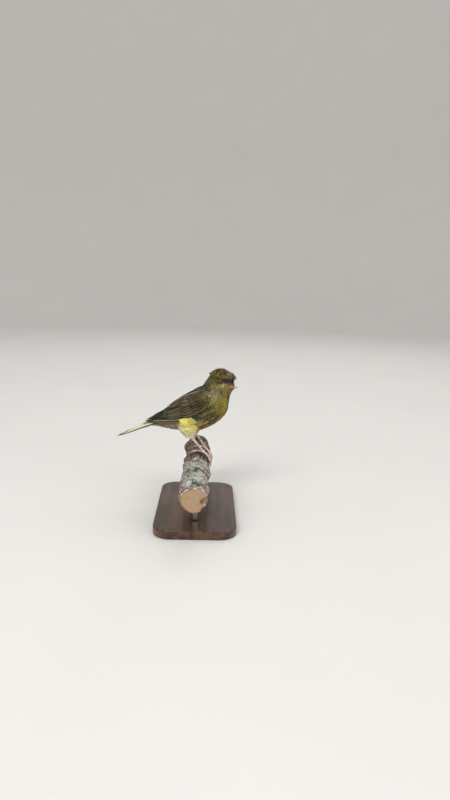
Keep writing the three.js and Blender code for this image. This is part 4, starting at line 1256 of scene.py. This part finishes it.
def make_bill(name, sign, deep, short, taper, wide, dark, colour):
    top, bottom = body(np.full(2, float(FACE)), np.array([0.0, math.pi]))
    face_up = unit(top - bottom)
    start = (top + bottom) / 2 - face_up * BILL["below"] + (-0.5, 0, 0)
    whole = math.hypot(BILL["length"], BILL["drop"])
    axis = np.array([BILL["length"], 0, -BILL["drop"]]) / whole
    up = unit(lerp(face_up, np.array([-axis[2], 0, axis[0]]), 0.35))

    def place(t, angle, rim):
        d = (1 - short / whole) * t
        rise = deep * lerp(0.05, 1, (1 - t) ** taper) * np.maximum(0, sign * np.cos(angle)) * rim
        line = BILL["mouth"] * (1 - d) - BILL["bend"] * d * d + sign * (BILL["gap"] + rise)
        lean = unit(face_up + (up - face_up) * np.minimum(1, 3 * t)[..., None])
        p = start + axis * (whole * d)[..., None] + lean * line[..., None]
        p[..., 1] = wide * BILL["half_width"] * lerp(0.05, 1, (1 - t) ** 0.85) * np.sin(angle) * rim
        return p

    points, faces = tube_mesh(place, 56, 40)
    tip = smooth((points - start) @ axis / whole, 0.66, 0.97) * dark
    if name == "upper":
        for _, side in SIDES:
            nostril = start + axis * 1.5 + face_up * 1.9 + (0, side * 2.15, 0)
            near = bell(length_of(points - nostril) / 0.45)
            points = points - near[:, None] * np.array([0.0, side * 0.5, 0.25])
            # the nostrils are shallow dents, darkened with the dark horn colour as painted shade for their
            # openings
            tip = np.maximum(tip, smooth(near, 0.25, 0.75))
    material = horn_material(f"horn_{name}", colour, "#3d2a22")
    dress(make_mesh(f"horn_{name}", points, faces, material, {"tip": tip}), "bill_horn", f"bill_{name}")


def make_gape(name, side):
    """The pale fleshy corner of the mouth, back along the cheek from the bill."""
    def place(t, angle, rim):
        guide = stack(lerp(33.8, 27.6, t), lerp(4.0, 9.6, t**0.6), lerp(64.9, 65.9, t))
        station, down = (v.reshape(t.shape) for v in nearest_station(guide.reshape(-1, 3)))
        radius = lerp(0.7, 0.15, t**0.8) * rim
        down = down + radius * np.cos(angle) / 7.5
        return body(station, down, 0.05 + radius * np.sin(angle)) * (1, side, 1)

    points, faces = tube_mesh(place, 24, 14)
    material = horn_material(f"gape_{name}", "#d9b493", "#9c7048", 0.5)
    far = smooth(points[:, 0], 33.5, 28.5) * 0.7
    dress(make_mesh(f"mouth_corner_{name}", points, faces, material, {"tip": far}), "bill_horn")


# Perch
def wrapped(angle):
    return np.arctan2(np.sin(angle), np.cos(angle))


def perch_radius(y, angle):
    wave = 0.42 * np.sin(y / 6.1 + 2 * np.sin(angle)) + 0.36 * np.sin(3 * angle - y / 9.7)
    knots = 0
    for at, turn, height, spread in KNOTS:
        beside = wrapped(angle - turn) * PERCH["radius"]
        knots = knots + height * np.exp(-((y - at) ** 2 + beside**2) / spread**2)
    return PERCH["radius"] + wave * lerp(0.2, 1, smooth(np.abs(y), 8, 30)) + knots


def perch_point(y, angle, lift=0.0):
    r = perch_radius(y, angle) + lift
    bow = PERCH["bow"] * (y / PERCH["near"]) ** 2
    return stack(r * np.sin(angle) + bow, y, r * np.cos(angle) - PERCH["radius"])


def bark_surface(y, angle):
    """Places on the bark, and how high, how full of lichen (which also sets painted shade) and how peeled
    each is.
    """
    near, far = PERCH["near"], PERCH["far"]
    p = perch_point(y, angle)
    ridges = 1 - np.abs(2 * fractal(p * (0.3, 0.12, 0.3) + 11, 4) - 1) * 2.2
    plates = smooth(fractal(p / 7.0 + 30, 3), 0.47, 0.53)
    high = np.clip(0.45 * fractal(p / 4.2, 5) + 0.3 * ridges + 0.4 * plates, 0, 1)
    foot_bed = bell((np.abs(y) - 9) / 6) * np.clip(np.cos(angle - 0.4), 0, 1)
    relief = (high - 0.95) * lerp(2.3, 0.7, foot_bed)
    worn_end = 1 - smooth(y, near, near + 5) * smooth(y, far, far - 3)
    peeled_to = near + 2.25 * noise(stack(angle * 3.5, 3.0, 0.0))
    peeled = smooth(y, peeled_to + 0.8, peeled_to)
    crown = bell(wrapped(angle + 0.2) / 0.8)
    # lichen on the near part, most on the crown; near zero behind and under the bird, where it also sets the
    # bark's painted shade
    lichen_and_light = smooth(y, -10, -50) * lerp(0.3, 0.9, crown) + 0.02
    return perch_point(y, angle, relief - 0.25 * worn_end - 0.5 * peeled), stack(high, lichen_and_light, peeled)


def sawn_end(rim, angle, end):
    """The disc that closes one end: points, faces, and how far out, where round and how knotty each is."""
    levels = np.linspace(1, 0.02, 26)[:, None]
    centre = np.array([0, end, -PERCH["radius"]])
    disc = centre + (rim - centre) * levels[..., None]
    disc[..., 1] -= np.sign(end) * 0.12 * (fractal(disc / 1.6 + 50, 3) - 0.5) * (levels < 0.97)
    disc[0] = rim
    grid = closed(np.arange(disc[..., 0].size).reshape(disc.shape[:2]))
    fan = stack(grid[-1, :-1], grid[-1, 1:], disc[..., 0].size)
    knots = [bell(length_of(disc - centre - (across, 0, up)) / size) for across, up, size in END_KNOTS]
    ring = stack(levels, angle, np.max(knots, axis=0) * (end < 0))
    faces = [quads_of(grid, flip=end > 0), fan if end < 0 else fan[:, ::-1]]
    return np.vstack([disc.reshape(-1, 3), [centre]]), faces, np.vstack([ring.reshape(-1, 3), [[0, 0, 0]]])


def make_perch():
    around, along = 150, 400
    lengthwise = np.linspace(PERCH["near"], PERCH["far"], along + 1)
    y, angle = np.meshgrid(lengthwise, np.arange(around) * TAU / around, indexing="ij")
    p, bark = bark_surface(y, angle)
    sides = quads_of(closed(np.arange(y.size).reshape(y.shape)))
    parts = [(p.reshape(-1, 3), facing_out(p.reshape(-1, 3), [sides]))]
    rings = [np.zeros((y.size, 3))]
    for row, end in ((0, PERCH["near"]), (along, PERCH["far"])):
        points, faces, ring = sawn_end(p[row], angle[0], end)
        parts.append((points, faces))
        rings.append(ring)
    points, faces = joined(parts)
    bark = np.vstack([bark.reshape(-1, 3), np.zeros((len(points) - y.size, 3))])
    piece = make_mesh("branch", points, faces, bark_material(), {"bark": bark, "ring": np.vstack(rings)})
    piece.data.materials.append(end_grain_material())
    polygons = piece.data.polygons
    polygons.foreach_set("material_index", (np.arange(len(polygons)) >= len(sides)).astype(np.int32))
    weld(piece)
    dress(piece, "bark", "perch")


# Legs, feet and claws
def toe_point(foot, toe, s, offset):
    """A place s along a toe, which bends round the perch and stands off its bark."""
    inward = -1 if foot["y"] > 0 else 1
    heading = math.radians(toe["heading"])
    y = foot["y"] + inward * s * math.sin(heading)
    angle = math.radians(foot["start"]) + s * math.cos(heading) / PERCH["radius"]
    near = [perch_radius(y + dy, angle + da) for dy in (-1.2, 0, 1.2) for da in (-0.09, 0, 0.09)]
    return perch_point(y, angle, np.max(near, axis=0) - perch_radius(y, angle) + offset)


def tube_along(path, radius, around, along):
    def place(t, angle, rim):
        ahead = unit(path(np.minimum(1, t + 0.02)) - path(np.maximum(0, t - 0.02)))
        beside = unit(np.cross(ahead, (0.02, 1, 0.05)))
        return path(t) + (radius(t, angle) * rim)[..., None] * spoke(angle, beside, np.cross(beside, ahead))

    return tube_mesh(place, around, along)


def scutes(t, count):
    """A row of overlapping plates along t: how high, and how near a crease."""
    phase = np.mod(t * count, 1)
    return phase**0.7 * 0.09, 1 - smooth(np.minimum(phase, 1 - phase), 0.02, 0.16)


def shank(foot, hub):
    """The bare leg from inside the thigh down to the foot's hub, as a tube and its creases."""
    plates, around, along = 9, 28, 150
    start = lerp(np.array(foot["ankle"]), hub, -0.25)

    def path(t):
        return start + (hub - start) * t[..., None] + stack(0.35 * np.sin(math.pi * t), 0.0, 0.0)

    def radius(t, angle):
        front = smooth(-np.cos(angle), -0.5, 0.3)
        return lerp(*SHANK_RADIUS, smooth(t, 0.15, 0.4)) * (1 + scutes(t, plates)[0] * front)

    return tube_along(path, radius, around, along), 0.7 * scutes(shares_along(around, along), plates)[1]


def knuckle(hub):
    """The round joint that the toes leave from."""
    def place(t, angle, rim):
        polar = math.pi * np.clip(t, 0.01, 0.99)
        flat = np.sin(polar) * rim
        ray = stack(flat * np.cos(angle), flat * np.sin(angle), np.cos(polar))
        return hub + HUB * ray * (1.12, 0.92, 0.9)

    part = tube_mesh(place, 28, 20)
    return part, 0.25 * smooth(noise(part[0] * 2.2), 0.5, 0.75)


def toe_tube(foot, toe, begin):
    pads, plates = toe["length"] / 3.2, int(toe["length"] * 1.15)
    around, along = 22, plates * 9

    def path(t):
        return toe_point(foot, toe, lerp(begin, toe["length"] + 0.25, t), TOE_RADIUS[0])

    def radius(t, angle):
        low = smooth(np.sin(angle), -0.2, 0.6)
        swell = 1 + 0.2 * np.cos(TAU * t * pads) * low
        return lerp(*TOE_RADIUS, t) * swell * (1 + scutes(t, plates)[0] * (1 - low))

    return tube_along(path, radius, around, along), 0.75 * scutes(shares_along(around, along), plates)[1]


def make_leg(name, foot, material):
    hub = perch_point(np.array(float(foot["y"])), np.array(math.radians(foot["start"])), HUB * 0.9)
    toes = [toe_tube(foot, toe, 0.0 if key == "hind" else 0.2) for key, toe in TOES.items()]
    parts, creases = zip(shank(foot, hub), knuckle(hub), *toes)
    attributes = {"crease": np.concatenate(creases)}
    piece = make_mesh(f"scaled_leg_{name}", *joined(parts), material, attributes)
    dress(piece, "leg_skin", f"leg_{name}", f"foot_{name}")


def make_claw(name, foot, toe_name, toe, material):
    around, along = 18, 30

    def path(t):
        arch = 0.62 + 0.55 * np.sin(math.pi * np.minimum(1, 0.15 + 0.8 * t))
        return toe_point(foot, toe, toe["length"] - 0.1 + (toe["claw"] + 0.5) * t, arch)

    def radius(t, angle):
        return lerp(0.58, 0.05, t**1.15) * (1 - 0.22 * np.abs(np.sin(angle)) ** 3)

    tip = 0.7 * smooth(shares_along(around, along), 0.35, 1)
    points, faces = tube_along(path, radius, around, along)
    piece = make_mesh(f"nail_{name}_{toe_name}", points, faces, material, {"tip": tip})
    dress(piece, "claw_horn", f"claw_{name}_{toe_name}")


# Stand
def make_base():
    bevel, corner, steps = STAND["bevel"], STAND["corner"], 14
    to_corner = np.array([STAND["x"], STAND["y"]]) / 2 - corner
    bend = np.linspace(0, math.pi / 2, 6)
    inset, rise = bevel * (1 - np.cos(bend)), bevel * (1 - np.sin(bend))
    rings = [*zip(inset[::-1], rise[::-1]), *zip(inset, STAND["height"] - rise)]
    points = []
    for inwards, z in rings:
        for k, sign in enumerate(((1, -1), (1, 1), (-1, 1), (-1, -1))):
            turn = np.linspace(0, math.pi / 2, steps) + (k - 1) * math.pi / 2
            xy = to_corner * sign + (corner - inwards) * stack(np.cos(turn), np.sin(turn))
            points.append(stack(xy[:, 0], xy[:, 1], z))
    points = np.vstack(points)
    grid = closed(np.arange(len(points)).reshape(len(rings), -1))
    low, high = grid[0, :-1], grid[-1, :-1]
    faces = [*facing_out(points, [quads_of(grid)]), low[None, ::-1], high[None]]
    piece = make_mesh("plinth", points - BIRD_AT, faces, walnut_material(), smooth_shaded=False)
    weld(piece)
    dress(piece, "stand_wood", "stand_base")


def make_rods():
    material = steel_material()
    gap, socket = 0.32, 0.6
    for name, y in (("near", -STAND["rod_y"]), ("far", STAND["rod_y"])):
        low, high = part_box(f"stand_rod_{name}")
        ends = low.z / MM - gap, high.z / MM + socket

        def place(t, angle, rim, y=y, ends=ends):
            r = STAND["rod"] * rim
            return stack(r * np.cos(angle), y + r * np.sin(angle), lerp(*ends, t)) - BIRD_AT

        points, faces = tube_mesh(place, 48, 12)
        dress(make_mesh(f"pillar_{name}", points, faces, material), "stand_metal", f"stand_rod_{name}")


# Studio, in metres
def make_floor():
    """A round floor that turns up into a wall all the way round."""
    flat, cove, top, around = 2.4, 1.0, 3.2, 96
    profile = [(r, 0.0) for r in (0.0001, 0.4, 0.8, 1.2, 1.6, 2.0, flat)]
    bend = np.linspace(0.08, math.pi / 2, 16)
    profile += [(flat + cove * math.sin(a), cove - cove * math.cos(a)) for a in bend]
    profile += [(flat + cove, top)]
    turn = np.arange(around) * TAU / around
    r, z = np.array(profile).T[..., None]
    points = stack(r * np.cos(turn), r * np.sin(turn), z).reshape(-1, 3)
    grid = closed(np.arange(len(points)).reshape(-1, around))
    floor = make_mesh("floor", points / MM - BIRD_AT, [quads_of(grid, flip=True)], floor_material())


def make_lights():
    aim = Vector((0, 0.03, 0.09))
    for name, place, size, watts in (
        ("key", (-0.7, -1.3, 1.3), 1.0, 20),
        ("fill", (1.2, -0.9, 0.7), 1.4, 8),
        ("back", (0.3, 1.2, 1.5), 1.3, 7),
    ):
        light = bpy.data.lights.new(name, "AREA")
        light.shape, light.size, light.energy = "DISK", size, watts
        lamp = add_object(name, light)
        lamp.location = place
        lamp.rotation_euler = (aim - Vector(place)).to_track_quat("-Z", "Y").to_euler()
    world = bpy.data.worlds.new("studio")
    world.use_nodes = True
    sky = world.node_tree.nodes["Background"].inputs
    sky[0].default_value, sky[1].default_value = (0.93, 0.94, 0.95, 1), 0.75
    bpy.context.scene.world = world
    bpy.context.scene.view_settings.view_transform = "Standard"


# Camera: the photograph's view, in its 450 by 800 frame
PHOTO = {
    "width": 450, "height": 800,
    "focal": 600,  # pixels
    "perch_vanishes": (212, 283),
    "perch_top": (197.8, 449),  # the bird's own origin
    "distance": 600,  # millimetres, along the view
    "roll": 1.3,  # degrees
}


def photo_ray(pixel):
    """The way to a pixel, as the camera sees it, 1 long along the view."""
    x, y = pixel[0] - PHOTO["width"] / 2, PHOTO["height"] / 2 - pixel[1]
    return np.array([x, y, -PHOTO["focal"]]) / PHOTO["focal"]


def make_camera():
    away = unit(photo_ray(PHOTO["perch_vanishes"]))
    roll = math.radians(PHOTO["roll"])
    up = np.array([math.sin(roll), math.cos(roll), 0.0])
    up = unit(up - away * (up @ away))
    turn = np.array([np.cross(away, up), away, up])  # rows: the world's axes as the camera sees them
    eye = BIRD_AT - turn @ (photo_ray(PHOTO["perch_top"]) * PHOTO["distance"])
    data = bpy.data.cameras.new("camera")
    data.sensor_width = 36
    data.lens = data.sensor_width * PHOTO["focal"] / PHOTO["height"]
    data.clip_start, data.clip_end = 0.01, 50
    camera = add_object("camera", data)
    camera.matrix_world = Matrix.Translation(Vector(eye * MM)) @ Matrix(turn.tolist()).to_4x4()
    bpy.context.scene.camera = camera


make_camera()
make_skin()
make_coat()
make_eye_rings()
make_bristles()
make_thighs()
for side_name, side in SIDES:
    make_wing_arm(side_name, side)
    make_wing(side_name, side)
    make_eye(side_name, side)
make_tail()
make_crest()
for half_name, half in BILL_HALVES.items():
    make_bill(half_name, **half)
for side_name, side in SIDES:
    make_gape(side_name, side)
make_perch()
LEG = leg_material()
CLAW = horn_material("claw_horn", "#b08d80", "#4a3630")
for side_name, foot in FEET.items():
    make_leg(side_name, foot, LEG)
    for toe_name, toe in TOES.items():
        make_claw(side_name, foot, toe_name, toe, CLAW)
make_base()
make_rods()
make_floor()
make_lights()
